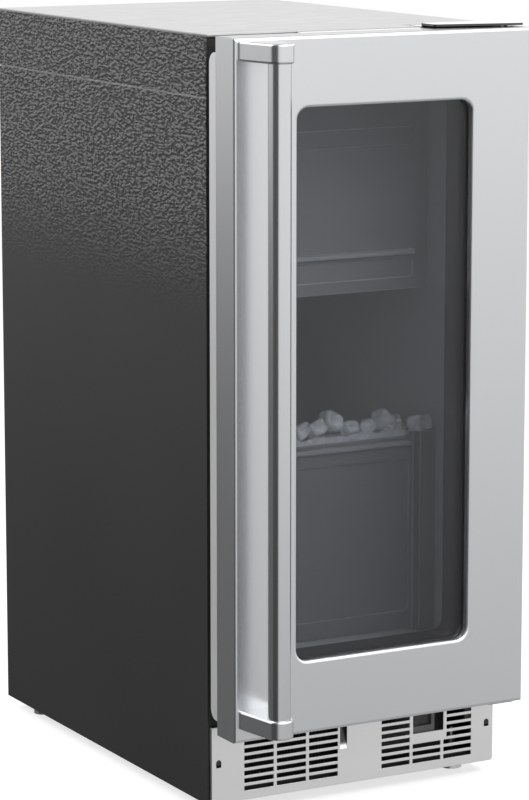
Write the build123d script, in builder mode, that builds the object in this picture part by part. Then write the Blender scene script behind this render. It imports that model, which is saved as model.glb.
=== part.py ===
"""Undercounter ice maker, fifteen inches wide, with a glass door, rebuilt as separate pieces.

Millimetres. X is to the right seen from the front, Y to the back, Z up from the floor.
The origin is on the floor, in the middle of the whole machine with its handle.
"""

from build123d import *
import math
import os

os.makedirs("parts", exist_ok=True)

# Whole machine
width = 378.0
body_depth = 601.3
handle_reach = 63.5
cabinet_height = 864.1
foot_clearance = 15.0

# Clearances between pieces
fit_gap = 0.3
seat_gap = 0.2
running_gap = 0.05

# Door
door_height = 776.4
door_drop = 0.5
door_steel_depth = 40.9
door_frame_depth = 14.9
seal_depth = 8.0
door_sheet = 1.2
door_edge_radius = 3.5
window_left_margin = 78.9
window_right_margin = 76.5
window_top_margin = 77.9
window_bottom_margin = 83.2
window_radius = 14.0
window_roll = 3.5
window_collar = 8.0
hem_wall = 4.7
glass_lap = 10.0
pane = 3.0
pane_gap = 5.0
spacer_width = 8.0
jamb_wall = 2.5
hinge_pocket_width = 110.5
hinge_pocket_height = 17.6
lower_pocket_height = 16.2
pocket_corner = 12.5

# Door seal
seal_inset = 16.0
seal_width = 14.0
seal_top_inset = 31.0
seal_bottom_inset = 39.4

# Hinge
pivot_inset = 16.0
pivot_setback = 24.0
pin_radius = 4.0
bushing_radius = 7.0
bushing_length = 14.0
top_hinge_lift = 1.6
bottom_hinge_lift = 0.5
top_hinge_sheet = 2.5
bottom_hinge_sheet = 3.0
hinge_width = 105.4
bottom_hinge_width = 38.0

# Handle
bar_radius = 12.7
nose_radius = 15.5
handle_inset = 13.9
bracket_taper = 10.0
bracket_round = 2.5
bracket_height = 21.5
bracket_top_inset = 3.0
bracket_bottom_inset = 15.6
socket_depth = 12.0
handle_screw_radius = 2.5
handle_screw_length = 18.0

# Cabinet shell
side_sheet = 1.5
rear_sheet = 1.2
frame_sheet = 1.5
top_sheet = 3.0
band_height = 69.3
band_seam = 0.5
flange = 14.0
top_notch_depth = 30.0
gusset_depth = 40.0

# Cavity and insulation
side_wall = 40.0
top_wall = 45.5
rear_wall = 56.3
floor_wall = 40.0
liner_sheet = 2.5
machine_bay = 108.6
step_depth = 145.0
step_rise = 125.0
foam_headroom = 9.0
chase_width = 60.0
chase_depth = 26.0
pipe_hole_radius = 16.0
pipe_hole_drop = 72.0

# Grille
grille_sheet = 1.5
grille_side_gap = 2.3
grille_setback = 58.2
grille_lift = 1.6
grille_height = 89.0
slot_width = 38.0
slot_height = 5.4
slot_pitch = 8.8
slot_rows = 7
column_pitch = 42.0
left_group_start = 43.7
right_group_start = 224.0
first_slot_drop = 16.9
switch_window_start = 266.5
switch_window_width = 41.3
switch_window_height = 22.9
narrow_slot_start = 312.2
keyhole_inset = 11.0
keyhole_width = 6.4
keyhole_height = 9.0
keyhole_rise = 46.2
pocket_start = 168.5
pocket_width = 9.3
pocket_height = 29.0
pocket_depth = 7.0

# Reference planes that follow from the sizes above
half_width = width / 2
door_front = handle_reach - (body_depth + handle_reach) / 2
door_rear = door_front + door_steel_depth + door_frame_depth
cabinet_front = door_rear + seal_depth
cabinet_rear = door_front + body_depth
cabinet_bottom = foot_clearance
cabinet_top = cabinet_bottom + cabinet_height
door_top = cabinet_top - door_drop
door_bottom = door_top - door_height
window_left = -half_width + window_left_margin
window_right = half_width - window_right_margin
window_top = door_top - window_top_margin
window_bottom = door_bottom + window_bottom_margin
cavity_half = half_width - side_wall
cavity_top = cabinet_top - top_wall
cavity_rear = cabinet_rear - rear_wall
bay_top = cabinet_bottom + machine_bay
cavity_floor = bay_top + floor_wall
step_front = cavity_rear - step_depth
step_top = cavity_floor + step_rise
seam = cabinet_top - band_height
under_top = cabinet_top - top_sheet
grille_front = door_front + grille_setback
grille_bottom = cabinet_bottom + grille_lift
grille_top = grille_bottom + grille_height
base_sheet = 1.5
base_top = cabinet_bottom + base_sheet
pivot_x = half_width - pivot_inset
pivot_y = door_front + pivot_setback


def block(x_span, y_span, z_span, mode=Mode.ADD):
    """A block between two corners, added to the piece being built or cut from it."""
    spans = (x_span, y_span, z_span)
    with Locations(tuple((low + high) / 2 for low, high in spans)):
        Box(*(high - low for low, high in spans), mode=mode)


def side_prism(points, x_span, mode=Mode.ADD):
    """A side view, as (Y, Z) points, carried from one X to another."""
    with BuildSketch(Plane.YZ.offset(x_span[0])) as profile:
        with BuildLine():
            Polyline(*points, close=True)
        make_face()
    extrude(profile.sketch, amount=x_span[1] - x_span[0], mode=mode)


def front_rectangle(y, x_span, z_span, radius, depth, mode=Mode.ADD):
    """A rectangle seen from the front, with round corners, carried back from the plane at y."""
    plane = Plane((0, y, 0), x_dir=(1, 0, 0), z_dir=(0, -1, 0))
    with BuildSketch(plane) as profile:
        with Locations(((x_span[0] + x_span[1]) / 2, (z_span[0] + z_span[1]) / 2)):
            if radius > 0:
                RectangleRounded(x_span[1] - x_span[0], z_span[1] - z_span[0], radius)
            else:
                Rectangle(x_span[1] - x_span[0], z_span[1] - z_span[0])
    extrude(profile.sketch, amount=-depth, mode=mode)


def front_cylinder(x, z, y_span, radius, mode=Mode.ADD):
    """A round bar along Y."""
    plane = Plane((0, y_span[0], 0), x_dir=(1, 0, 0), z_dir=(0, -1, 0))
    with BuildSketch(plane) as profile:
        with Locations((x, z)):
            Circle(radius)
    extrude(profile.sketch, amount=y_span[0] - y_span[1], mode=mode)


def upright_cylinder(x, y, z_span, radius, mode=Mode.ADD):
    """A round bar along Z."""
    with BuildSketch(Plane.XY.offset(z_span[0])) as profile:
        with Locations((x, y)):
            Circle(radius)
    extrude(profile.sketch, amount=z_span[1] - z_span[0], mode=mode)


def cross_cylinder(y, z, x_span, radius, mode=Mode.ADD):
    """A round bar along X."""
    with BuildSketch(Plane.YZ.offset(x_span[0])) as profile:
        with Locations((y, z)):
            Circle(radius)
    extrude(profile.sketch, amount=x_span[1] - x_span[0], mode=mode)


def on_side(side, inner, outer):
    """The X span between two distances from the middle, on the left (-1) or the right (1)."""
    return tuple(sorted((side * inner, side * outer)))


# Cabinet shell: side panels, folded in front and behind
pan_front = cabinet_front + frame_sheet + fit_gap + side_sheet + seat_gap
rear_recess = 2.6
rear_face = cabinet_rear - rear_recess
pan_rear = rear_face - rear_sheet - 2 * seat_gap - side_sheet
inside_half = half_width - side_sheet - seat_gap
keyhole_z = grille_bottom + keyhole_rise + (keyhole_height - keyhole_width) / 2
screw_radius = 2.0
screw_head_radius = 3.0
screw_length = 12.0
rear_screw_heights = (120.0, 420.0, 720.0)
rear_screw_inset = 9.0

for name, side in (("side_panel_left", -1), ("side_panel_right", 1)):
    with BuildPart() as side_panel:
        sheet_in = half_width - side_sheet
        heights = (cabinet_bottom, seam - band_seam)
        block(on_side(side, sheet_in, half_width), (cabinet_front, cabinet_rear), heights)
        front_fold = pan_front - seat_gap - side_sheet
        block(on_side(side, sheet_in - flange, sheet_in), (front_fold, front_fold + side_sheet), heights)
        rear_fold = pan_rear + seat_gap
        block(on_side(side, sheet_in - flange, sheet_in), (rear_fold, rear_fold + side_sheet), heights)
        grille_screw_x = side * (half_width - keyhole_inset)
        front_cylinder(
            grille_screw_x, keyhole_z, (front_fold, pan_front), screw_radius + running_gap, Mode.SUBTRACT
        )
        for height in rear_screw_heights:
            rear_screw_x = side * (half_width - rear_screw_inset)
            front_cylinder(
                rear_screw_x, height, (rear_fold - 1, rear_face), screw_radius + running_gap, Mode.SUBTRACT
            )
    side_panel.part.label = name
    export_step(side_panel.part, f"parts/{name}.step")

# Top band: the black skirt round the top, with a gusset in each front corner for a hinge
hinge_screw_radius = 2.4
hinge_screw_head = 4.2
hinge_screw_length = 10.0
hinge_screw_places = (20.0, 52.0, 84.0)
hinge_rear = cabinet_front + top_notch_depth - 2.8
hinge_screw_y = hinge_rear - 13.0

with BuildPart() as top_band:
    for side in (-1, 1):
        block(
            on_side(side, half_width - side_sheet, half_width),
            (cabinet_front, cabinet_rear),
            (seam, under_top),
        )
        gusset_front = cabinet_front + frame_sheet + seat_gap
        block(
            on_side(side, half_width - hinge_pocket_width, half_width - side_sheet),
            (gusset_front, cabinet_front + gusset_depth),
            (under_top - side_sheet, under_top),
        )
        for place in hinge_screw_places:
            upright_cylinder(
                side * (half_width - place),
                hinge_screw_y,
                (under_top - side_sheet, under_top),
                hinge_screw_radius + running_gap,
                Mode.SUBTRACT,
            )
    block(
        (-half_width + side_sheet, half_width - side_sheet),
        (cabinet_rear - side_sheet, cabinet_rear),
        (seam, under_top),
    )
top_band.part.label = "top_band"
export_step(top_band.part, "parts/top_band.step")

# Top panel: light sheet with a tongue between the two hinge notches
tongue_gap = 1.2
tongue_front = door_rear + tongue_gap
top_edge_radius = 1.4
with BuildPart() as top_panel:
    block((-half_width, half_width), (tongue_front, cabinet_rear), (under_top, cabinet_top))
    for side in (-1, 1):
        block(
            on_side(side, half_width - hinge_pocket_width, half_width),
            (tongue_front, cabinet_front + top_notch_depth),
            (under_top, cabinet_top),
            Mode.SUBTRACT,
        )
    fillet(top_panel.faces().sort_by(Axis.Z)[-1].edges(), top_edge_radius)
top_panel.part.label = "top_panel"
export_step(top_panel.part, "parts/top_panel.step")

# Blank cover over the unused hinge notch on the left
blank_wall = 1.5
hinge_sweep = math.hypot(pivot_inset, door_rear - pivot_y)
riser_front = pivot_y + hinge_sweep + 2 * fit_gap
with BuildPart() as hinge_blank:
    blank_x = (-half_width + fit_gap, -half_width + hinge_pocket_width - fit_gap)
    blank_y = (riser_front, cabinet_front + top_notch_depth - seat_gap)
    blank_z = (under_top + seat_gap, cabinet_top)
    block(blank_x, blank_y, blank_z)
    fillet(hinge_blank.faces().sort_by(Axis.Z)[-1].edges(), 1.0)
    block(
        (blank_x[0] + blank_wall, blank_x[1] - blank_wall),
        (blank_y[0] + blank_wall, blank_y[1] - blank_wall),
        (blank_z[0], blank_z[1] - blank_wall),
        Mode.SUBTRACT,
    )
hinge_blank.part.label = "hinge_blank"
export_step(hinge_blank.part, "parts/hinge_blank.step")

# Front frame: the face that the door seal meets, with a tab at each lower corner for a hinge
frame_bottom = door_bottom - 13.6
tab_drop = 22.0
frame_half = half_width - side_sheet - seat_gap
tab_bottom = frame_bottom - tab_drop
angle_screw_z = frame_bottom - tab_drop / 2
angle_screw_places = (22.0, 33.0)
with BuildPart() as front_frame:
    frame_y = (cabinet_front, cabinet_front + frame_sheet)
    block((-frame_half, frame_half), frame_y, (frame_bottom, under_top - seat_gap))
    block((-cavity_half, cavity_half), frame_y, (cavity_floor, cavity_top), Mode.SUBTRACT)
    for side in (-1, 1):
        block(on_side(side, frame_half - bottom_hinge_width, frame_half), frame_y, (tab_bottom, frame_bottom))
        for place in angle_screw_places:
            screw_x = side * (half_width - place)
            front_cylinder(screw_x, angle_screw_z, frame_y, hinge_screw_radius + running_gap, Mode.SUBTRACT)
front_frame.part.label = "front_frame"
export_step(front_frame.part, "parts/front_frame.step")

# Rear panel with louvres, and holes for the water inlet, the drain and the mains cord
inlet_x = -130.0
inlet_z = 96.0
inlet_radius = 13.1
inlet_length = 14.0
inlet_hole_radius = 20.0
drain_x = -70.0
drain_z = 60.0
drain_radius = 8.0
drain_length = 20.0
drain_hole_radius = 14.0
gland_x = 130.0
gland_z = 60.0
gland_radius = 8.0
louvre_width = 90.0
louvre_height = 5.0
louvre_pitch = 12.0
louvre_rows = 8
louvre_centre_z = 190.0
with BuildPart() as rear_panel:
    panel_y = (rear_face - rear_sheet, rear_face)
    block((-inside_half, inside_half), panel_y, (cabinet_bottom, seam - band_seam))
    for x in (-60.0, 60.0):
        for row in range(louvre_rows):
            z = louvre_centre_z + (row - (louvre_rows - 1) / 2) * louvre_pitch
            slot_x = (x - louvre_width / 2, x + louvre_width / 2)
            front_rectangle(
                panel_y[0],
                slot_x,
                (z - louvre_height / 2, z + louvre_height / 2),
                2.4,
                rear_sheet,
                Mode.SUBTRACT,
            )
    front_cylinder(inlet_x, inlet_z, panel_y, inlet_hole_radius, Mode.SUBTRACT)
    front_cylinder(drain_x, drain_z, panel_y, drain_hole_radius, Mode.SUBTRACT)
    front_cylinder(gland_x, gland_z, panel_y, gland_radius + running_gap, Mode.SUBTRACT)
    for side in (-1, 1):
        for height in rear_screw_heights:
            rear_screw_x = side * (half_width - rear_screw_inset)
            front_cylinder(rear_screw_x, height, panel_y, screw_radius + running_gap, Mode.SUBTRACT)
rear_panel.part.label = "rear_panel"
export_step(rear_panel.part, "parts/rear_panel.step")

# Base pan with a threaded boss for each levelling leg
leg_x = 160.5
leg_inset = 40.5
leg_places = {
    "leg_front_left": (-leg_x, pan_front + leg_inset),
    "leg_front_right": (leg_x, pan_front + leg_inset),
    "leg_rear_left": (-leg_x, pan_rear - leg_inset),
    "leg_rear_right": (leg_x, pan_rear - leg_inset),
}
stud_radius = 5.0
boss_radius = 10.0
boss_height = 12.0
pan_lip = 12.0
with BuildPart() as base_pan:
    block((-inside_half, inside_half), (pan_front, pan_rear), (cabinet_bottom, base_top + pan_lip))
    block(
        (-inside_half + base_sheet, inside_half - base_sheet),
        (pan_front + base_sheet, pan_rear - base_sheet),
        (base_top, base_top + pan_lip),
        Mode.SUBTRACT,
    )
    for x, y in leg_places.values():
        upright_cylinder(x, y, (base_top, base_top + boss_height), boss_radius)
        upright_cylinder(
            x, y, (cabinet_bottom, base_top + boss_height), stud_radius + running_gap, Mode.SUBTRACT
        )
base_pan.part.label = "base_pan"
export_step(base_pan.part, "parts/base_pan.step")

# Levelling legs: a round foot, a hexagon for the spanner and a stud
foot_radius = 13.0
foot_height = 6.0
hex_radius = 8.0
hex_height = 5.0
stud_length = 38.0
for name, (x, y) in leg_places.items():
    with BuildPart() as leg:
        upright_cylinder(x, y, (0, foot_height), foot_radius)
        fillet(leg.faces().sort_by(Axis.Z)[-1].edges(), 1.5)
        with BuildSketch(Plane.XY.offset(foot_height)):
            with Locations((x, y)):
                RegularPolygon(hex_radius, 6)
        extrude(amount=hex_height)
        stud_bottom = foot_height + hex_height
        upright_cylinder(x, y, (stud_bottom, stud_bottom + stud_length), stud_radius)
    leg.part.label = name
    export_step(leg.part, f"parts/{name}.step")

# Grille panel: slots, switch window, screw notches, finger pocket, short folds back to the cabinet
grille_rear = grille_front + grille_sheet
grille_corner = 4.0
hinge_notch_gap = 1.5
first_slot_top = door_bottom - first_slot_drop
window_rows = 4
bottom_hinge_top = door_bottom - bottom_hinge_lift
bottom_hinge_under = bottom_hinge_top - bottom_hinge_sheet
switch_window = (-half_width + switch_window_start, -half_width + switch_window_start + switch_window_width)
switch_window_z = (first_slot_top - switch_window_height, first_slot_top)


def grille_slot(start, end, row):
    """One air slot, from the left edge of the panel to two distances along it."""
    top = first_slot_top - row * slot_pitch
    block((-half_width + start, -half_width + end), slot_cut, (top - slot_height, top), Mode.SUBTRACT)


with BuildPart() as grille_panel:
    slot_cut = (grille_front - 1, grille_rear + 1)
    grille_half = half_width - grille_side_gap
    block((-grille_half, grille_half), (grille_front, grille_rear), (grille_bottom, grille_top))
    lower_corners = grille_panel.edges().filter_by(Axis.Y).group_by(Axis.Z)[0]
    fillet(lower_corners, grille_corner)
    for side in (-1, 1):
        block(
            on_side(side, grille_half - grille_sheet, grille_half),
            (grille_rear, cabinet_front - fit_gap),
            (grille_bottom + grille_corner, grille_top),
        )
        notch_x = side * (half_width - keyhole_inset)
        notch_bottom = grille_bottom + keyhole_rise - keyhole_height / 2
        block(
            (notch_x - keyhole_width / 2, notch_x + keyhole_width / 2),
            slot_cut,
            (notch_bottom, keyhole_z),
            Mode.SUBTRACT,
        )
        front_cylinder(notch_x, keyhole_z, slot_cut, keyhole_width / 2, Mode.SUBTRACT)
    hinge_side = (frame_half - bottom_hinge_width - hinge_notch_gap, half_width)
    block(hinge_side, slot_cut, (bottom_hinge_under - hinge_notch_gap, grille_top), Mode.SUBTRACT)
    block(hinge_side, (grille_rear, cabinet_front), (tab_bottom - hinge_notch_gap, grille_top), Mode.SUBTRACT)
    for row in range(slot_rows):
        for column in range(3):
            start = left_group_start + column * column_pitch
            grille_slot(start, start + slot_width, row)
        grille_slot(right_group_start, right_group_start + slot_width, row)
        last_end = right_group_start + 2 * column_pitch + slot_width
        if row < window_rows:
            grille_slot(narrow_slot_start, last_end, row)
        else:
            middle_start = right_group_start + column_pitch
            grille_slot(middle_start, middle_start + slot_width, row)
            grille_slot(last_end - slot_width, last_end, row)
    block(switch_window, slot_cut, switch_window_z, Mode.SUBTRACT)
    pocket_x = (-half_width + pocket_start, -half_width + pocket_start + pocket_width)
    pocket_low = first_slot_top - pocket_height
    pocket_outer = (
        (grille_rear, pocket_low - 1),
        (grille_rear + pocket_depth, first_slot_top + 1),
        (grille_rear, first_slot_top + 1),
    )
    side_prism(pocket_outer, (pocket_x[0] - 1, pocket_x[1] + 1))
    pocket_inner = (
        (grille_front - 0.5, pocket_low),
        (grille_rear + pocket_depth - 1.4, first_slot_top),
        (grille_front - 0.5, first_slot_top),
    )
    side_prism(pocket_inner, pocket_x, Mode.SUBTRACT)
grille_panel.part.label = "grille_panel"
export_step(grille_panel.part, "parts/grille_panel.step")

# Top hinge plate: low behind, stepped up over the door, its front edge coming forward to the pin
hinge_right = half_width
hinge_left = hinge_right - hinge_width
hinge_nose_y = door_front + 12.0
hinge_wing_y = door_front + 36.0
hinge_low = under_top + seat_gap
hinge_high = door_top + top_hinge_lift
top_hinge_top = hinge_high + top_hinge_sheet
with BuildPart() as top_hinge_plate:
    riser_back = riser_front + top_hinge_sheet
    joggle = (
        (hinge_rear, hinge_low),
        (hinge_rear, hinge_low + top_hinge_sheet),
        (riser_back, hinge_low + top_hinge_sheet),
        (riser_back, top_hinge_top),
        (hinge_nose_y, top_hinge_top),
        (hinge_nose_y, hinge_high),
        (riser_front, hinge_high),
        (riser_front, hinge_low),
    )
    side_prism(joggle, (hinge_left, hinge_right))
    with BuildSketch(Plane.XY.offset(hinge_low - 1)):
        with BuildLine():
            FilletPolyline(
                (hinge_left, hinge_rear),
                (hinge_left, hinge_wing_y),
                (hinge_right, hinge_nose_y),
                (hinge_right, hinge_rear),
                radius=5.0,
                close=True,
            )
        make_face()
    extrude(amount=top_hinge_top - hinge_low + 2, mode=Mode.INTERSECT)
    upright_cylinder(pivot_x, pivot_y, (hinge_low, top_hinge_top), pin_radius + running_gap, Mode.SUBTRACT)
    for place in hinge_screw_places:
        with Locations((half_width - place, hinge_screw_y, hinge_low + top_hinge_sheet)):
            CounterSinkHole(hinge_screw_radius + running_gap, hinge_screw_head + running_gap, 4.0)
top_hinge_plate.part.label = "top_hinge_plate"
export_step(top_hinge_plate.part, "parts/top_hinge_plate.step")

# Bottom hinge plate: an angle under the door, fixed to the tab of the front frame
angle_rear = cabinet_front - seat_gap
with BuildPart() as bottom_hinge_plate:
    angle_x = (frame_half - bottom_hinge_width, frame_half)
    block(angle_x, (hinge_nose_y, angle_rear), (bottom_hinge_under, bottom_hinge_top))
    fillet(bottom_hinge_plate.edges().filter_by(Axis.Z).group_by(Axis.Y)[0], 5.0)
    block(angle_x, (angle_rear - bottom_hinge_sheet, angle_rear), (tab_bottom + 1, bottom_hinge_under))
    upright_cylinder(
        pivot_x, pivot_y, (bottom_hinge_under, bottom_hinge_top), pin_radius + running_gap, Mode.SUBTRACT
    )
    for place in angle_screw_places:
        screw_origin = (half_width - place, angle_rear - bottom_hinge_sheet, angle_screw_z)
        front = Plane(screw_origin, x_dir=(1, 0, 0), z_dir=(0, -1, 0))
        with Locations(front):
            CounterSinkHole(hinge_screw_radius + running_gap, hinge_screw_head + running_gap, 4.0)
bottom_hinge_plate.part.label = "bottom_hinge_plate"
export_step(bottom_hinge_plate.part, "parts/bottom_hinge_plate.step")

# Hinge pins, pressed into the two plates
pin_reach = 12.0
with BuildPart() as hinge_pins:
    upright_cylinder(pivot_x, pivot_y, (door_top - pin_reach, top_hinge_top), pin_radius)
    upright_cylinder(pivot_x, pivot_y, (bottom_hinge_under, door_bottom + pin_reach), pin_radius)
hinge_pins.part.label = "hinge_pins"
export_step(hinge_pins.part, "parts/hinge_pins.step")

# Hinge screws: countersunk, three above and two below
cone_height = hinge_screw_head - hinge_screw_radius
countersunk_side = (
    (0, 0),
    (hinge_screw_head, 0),
    (hinge_screw_radius, -cone_height),
    (hinge_screw_radius, -hinge_screw_length),
    (0, -hinge_screw_length),
)
with BuildPart() as hinge_screws:
    top_screw_z = hinge_low + top_hinge_sheet
    screw_planes = [
        Plane((half_width - place, hinge_screw_y, top_screw_z), z_dir=(0, 0, 1))
        for place in hinge_screw_places
    ]
    screw_planes += [
        Plane(
            (half_width - place, angle_rear - bottom_hinge_sheet, angle_screw_z),
            x_dir=(1, 0, 0),
            z_dir=(0, -1, 0),
        )
        for place in angle_screw_places
    ]
    for plane in screw_planes:
        side_view = Plane(plane.origin, x_dir=plane.x_dir, z_dir=-plane.y_dir)
        with BuildSketch(side_view):
            with BuildLine():
                Polyline(*countersunk_side, close=True)
            make_face()
        revolve(axis=Axis(plane.origin, plane.z_dir))
hinge_screws.part.label = "hinge_screws"
export_step(hinge_screws.part, "parts/hinge_screws.step")

# Panel screws: two through the grille notches, six in the rear panel
with BuildPart() as panel_screws:
    for side in (-1, 1):
        notch_x = side * (half_width - keyhole_inset)
        grille_head = (grille_front - 0.3, grille_rear + 0.8)
        front_cylinder(notch_x, keyhole_z, grille_head, screw_head_radius)
        front_cylinder(notch_x, keyhole_z, (grille_head[1], grille_head[1] + screw_length), screw_radius)
        for height in rear_screw_heights:
            rear_screw_x = side * (half_width - rear_screw_inset)
            front_cylinder(rear_screw_x, height, (rear_face, rear_face + 2.2), 4.0)
            front_cylinder(rear_screw_x, height, (rear_face - screw_length / 2, rear_face), screw_radius)
panel_screws.part.label = "panel_screws"
export_step(panel_screws.part, "parts/panel_screws.step")

# Door skin: folded steel with a rolled window edge
bar_x = -half_width + handle_inset + nose_radius
bar_stand = handle_reach - nose_radius
bar_y = door_front - bar_stand
bracket_top_z = (door_top - bracket_top_inset - bracket_height, door_top - bracket_top_inset)
bracket_bottom_z = (door_bottom + bracket_bottom_inset, door_bottom + bracket_bottom_inset + bracket_height)
handle_screw_spacing = 12.0
handle_screw_heights = [
    (span[0] + span[1] + shift) / 2
    for span in (bracket_top_z, bracket_bottom_z)
    for shift in (-handle_screw_spacing, handle_screw_spacing)
]
skin_rear = door_front + door_steel_depth
window_x = (window_left, window_right)
window_z = (window_bottom, window_top)


def grown(span, by):
    """A span made longer by the same amount at both ends."""
    return (span[0] - by, span[1] + by)


with BuildPart() as door_skin:
    block((-half_width, half_width), (door_front, skin_rear), (door_bottom, door_top))
    fillet(door_skin.faces().sort_by(Axis.Y)[0].edges(), door_edge_radius)
    inner_x = grown((-half_width, half_width), -door_sheet)
    inner_z = grown((door_bottom, door_top), -door_sheet)
    with BuildPart(mode=Mode.SUBTRACT) as inside:
        block(inner_x, (door_front + door_sheet, skin_rear), inner_z)
        fillet(inside.faces().sort_by(Axis.Y)[0].edges(), door_edge_radius - door_sheet)
    hem_radius = window_radius + hem_wall
    front_rectangle(
        door_front + door_sheet,
        grown(window_x, hem_wall),
        grown(window_z, hem_wall),
        hem_radius,
        window_collar - door_sheet,
    )
    front_rectangle(door_front - 1, window_x, window_z, window_radius, window_collar + 2, Mode.SUBTRACT)
    rim = door_skin.faces().sort_by(Axis.Y)[0].inner_wires()[0]
    fillet(rim.edges(), window_roll)
    for z in (door_top, door_bottom):
        upright_cylinder(pivot_x, pivot_y, (z - 2, z + 2), bushing_radius + running_gap, Mode.SUBTRACT)
    for z in handle_screw_heights:
        front_cylinder(
            bar_x, z, (door_front - 1, door_front + 2), handle_screw_radius + running_gap, Mode.SUBTRACT
        )
door_skin.part.label = "door_skin"
export_step(door_skin.part, "parts/door_skin.step")

# Door glass: two panes with a black spacer sealed between them
glass_front = door_front + window_collar + fit_gap
inner_glass_front = glass_front + pane + pane_gap
glass_rear = inner_glass_front + pane
glass_x = grown(window_x, glass_lap)
glass_z = grown(window_z, glass_lap)
glass_radius = window_radius - 2.0
with BuildPart() as outer_glass:
    front_rectangle(glass_front, glass_x, glass_z, glass_radius, pane)
outer_glass.part.label = "outer_glass"
export_step(outer_glass.part, "parts/outer_glass.step")

with BuildPart() as inner_glass:
    front_rectangle(inner_glass_front, glass_x, glass_z, glass_radius, pane)
inner_glass.part.label = "inner_glass"
export_step(inner_glass.part, "parts/inner_glass.step")

with BuildPart() as glass_spacer:
    outer_span = -1.0
    inner_span = outer_span - spacer_width
    front_rectangle(
        glass_front + pane, grown(glass_x, outer_span), grown(glass_z, outer_span), glass_radius, pane_gap
    )
    front_rectangle(
        glass_front + pane,
        grown(glass_x, inner_span),
        grown(glass_z, inner_span),
        glass_radius,
        pane_gap,
        Mode.SUBTRACT,
    )
glass_spacer.part.label = "glass_spacer"
export_step(glass_spacer.part, "parts/glass_spacer.step")

# Door insulation round the glass
jamb_front = glass_rear + fit_gap
head_radius = 4.5
head_height = 3.0
with BuildPart() as door_foam:
    foam_rear = skin_rear - seat_gap
    foam_x = grown(inner_x, -seat_gap)
    foam_z = grown(inner_z, -seat_gap)
    block(foam_x, (door_front + door_sheet + seat_gap, foam_rear), foam_z)
    fillet(door_foam.faces().sort_by(Axis.Y)[0].edges(), door_edge_radius - door_sheet - seat_gap)
    front_rectangle(
        door_front,
        grown(glass_x, fit_gap),
        grown(glass_z, fit_gap),
        glass_radius,
        jamb_front - door_front,
        Mode.SUBTRACT,
    )
    jamb_reach = jamb_wall + seat_gap
    front_rectangle(
        jamb_front - 1,
        grown(window_x, jamb_reach),
        grown(window_z, jamb_reach),
        window_radius + jamb_reach,
        30,
        Mode.SUBTRACT,
    )
    bushing_pocket = bushing_length + door_sheet + 1
    upright_cylinder(
        pivot_x, pivot_y, (door_top - bushing_pocket, door_top), bushing_radius + seat_gap, Mode.SUBTRACT
    )
    upright_cylinder(
        pivot_x,
        pivot_y,
        (door_bottom, door_bottom + bushing_pocket),
        bushing_radius + seat_gap,
        Mode.SUBTRACT,
    )
    for z in handle_screw_heights:
        front_cylinder(bar_x, z, (door_front, door_front + 6), head_radius + seat_gap, Mode.SUBTRACT)
door_foam.part.label = "door_foam"
export_step(door_foam.part, "parts/door_foam.step")

# Inner door frame: light moulding behind the steel, cut away at each corner for a hinge, lining the window
with BuildPart() as door_inner_frame:
    frame_edge = 0.5
    block(
        (-half_width, half_width), (skin_rear, door_rear), (door_bottom + frame_edge, door_top - frame_edge)
    )
    pocket_floors = (door_bottom + lower_pocket_height, door_top - hinge_pocket_height)
    pocket_spans = ((door_bottom, pocket_floors[0]), (pocket_floors[1], door_top))
    for side in (-1, 1):
        for span in pocket_spans:
            pocket_x = on_side(side, half_width - hinge_pocket_width, half_width)
            block(pocket_x, (skin_rear, door_rear), span, Mode.SUBTRACT)
    rear_edges = door_inner_frame.faces().sort_by(Axis.Y)[-1].edges().filter_by(Axis.X)
    fillet(rear_edges.filter_by_position(Axis.Z, *pocket_floors), pocket_corner)
    front_rectangle(
        jamb_front,
        grown(window_x, jamb_wall),
        grown(window_z, jamb_wall),
        window_radius + jamb_wall,
        skin_rear - jamb_front + 1,
    )
    front_rectangle(jamb_front - 1, window_x, window_z, window_radius, 60, Mode.SUBTRACT)
door_inner_frame.part.label = "door_inner_frame"
export_step(door_inner_frame.part, "parts/door_inner_frame.step")

# Door seal: a ring behind the inner frame, its outer edge no further out than the pivot
with BuildPart() as door_gasket:
    seal_x = grown((-half_width, half_width), -seal_inset)
    seal_z = (door_bottom + seal_bottom_inset, door_top - seal_top_inset)
    seal_thickness = seal_depth - fit_gap
    front_rectangle(door_rear, seal_x, seal_z, 6.0, seal_thickness)
    front_rectangle(
        door_rear - 1,
        grown(seal_x, -seal_width),
        grown(seal_z, -seal_width),
        4.0,
        seal_thickness + 2,
        Mode.SUBTRACT,
    )
door_gasket.part.label = "door_gasket"
export_step(door_gasket.part, "parts/door_gasket.step")

# Hinge bushings in the top and the bottom of the door
with BuildPart() as door_bushings:
    upright_cylinder(pivot_x, pivot_y, (door_top - bushing_length, door_top + seat_gap), bushing_radius)
    upright_cylinder(pivot_x, pivot_y, (door_bottom - seat_gap, door_bottom + bushing_length), bushing_radius)
    upright_cylinder(
        pivot_x, pivot_y, (door_bottom - 1, door_top + 1), pin_radius + running_gap, Mode.SUBTRACT
    )
door_bushings.part.label = "door_bushings"
export_step(door_bushings.part, "parts/door_bushings.step")

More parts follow.
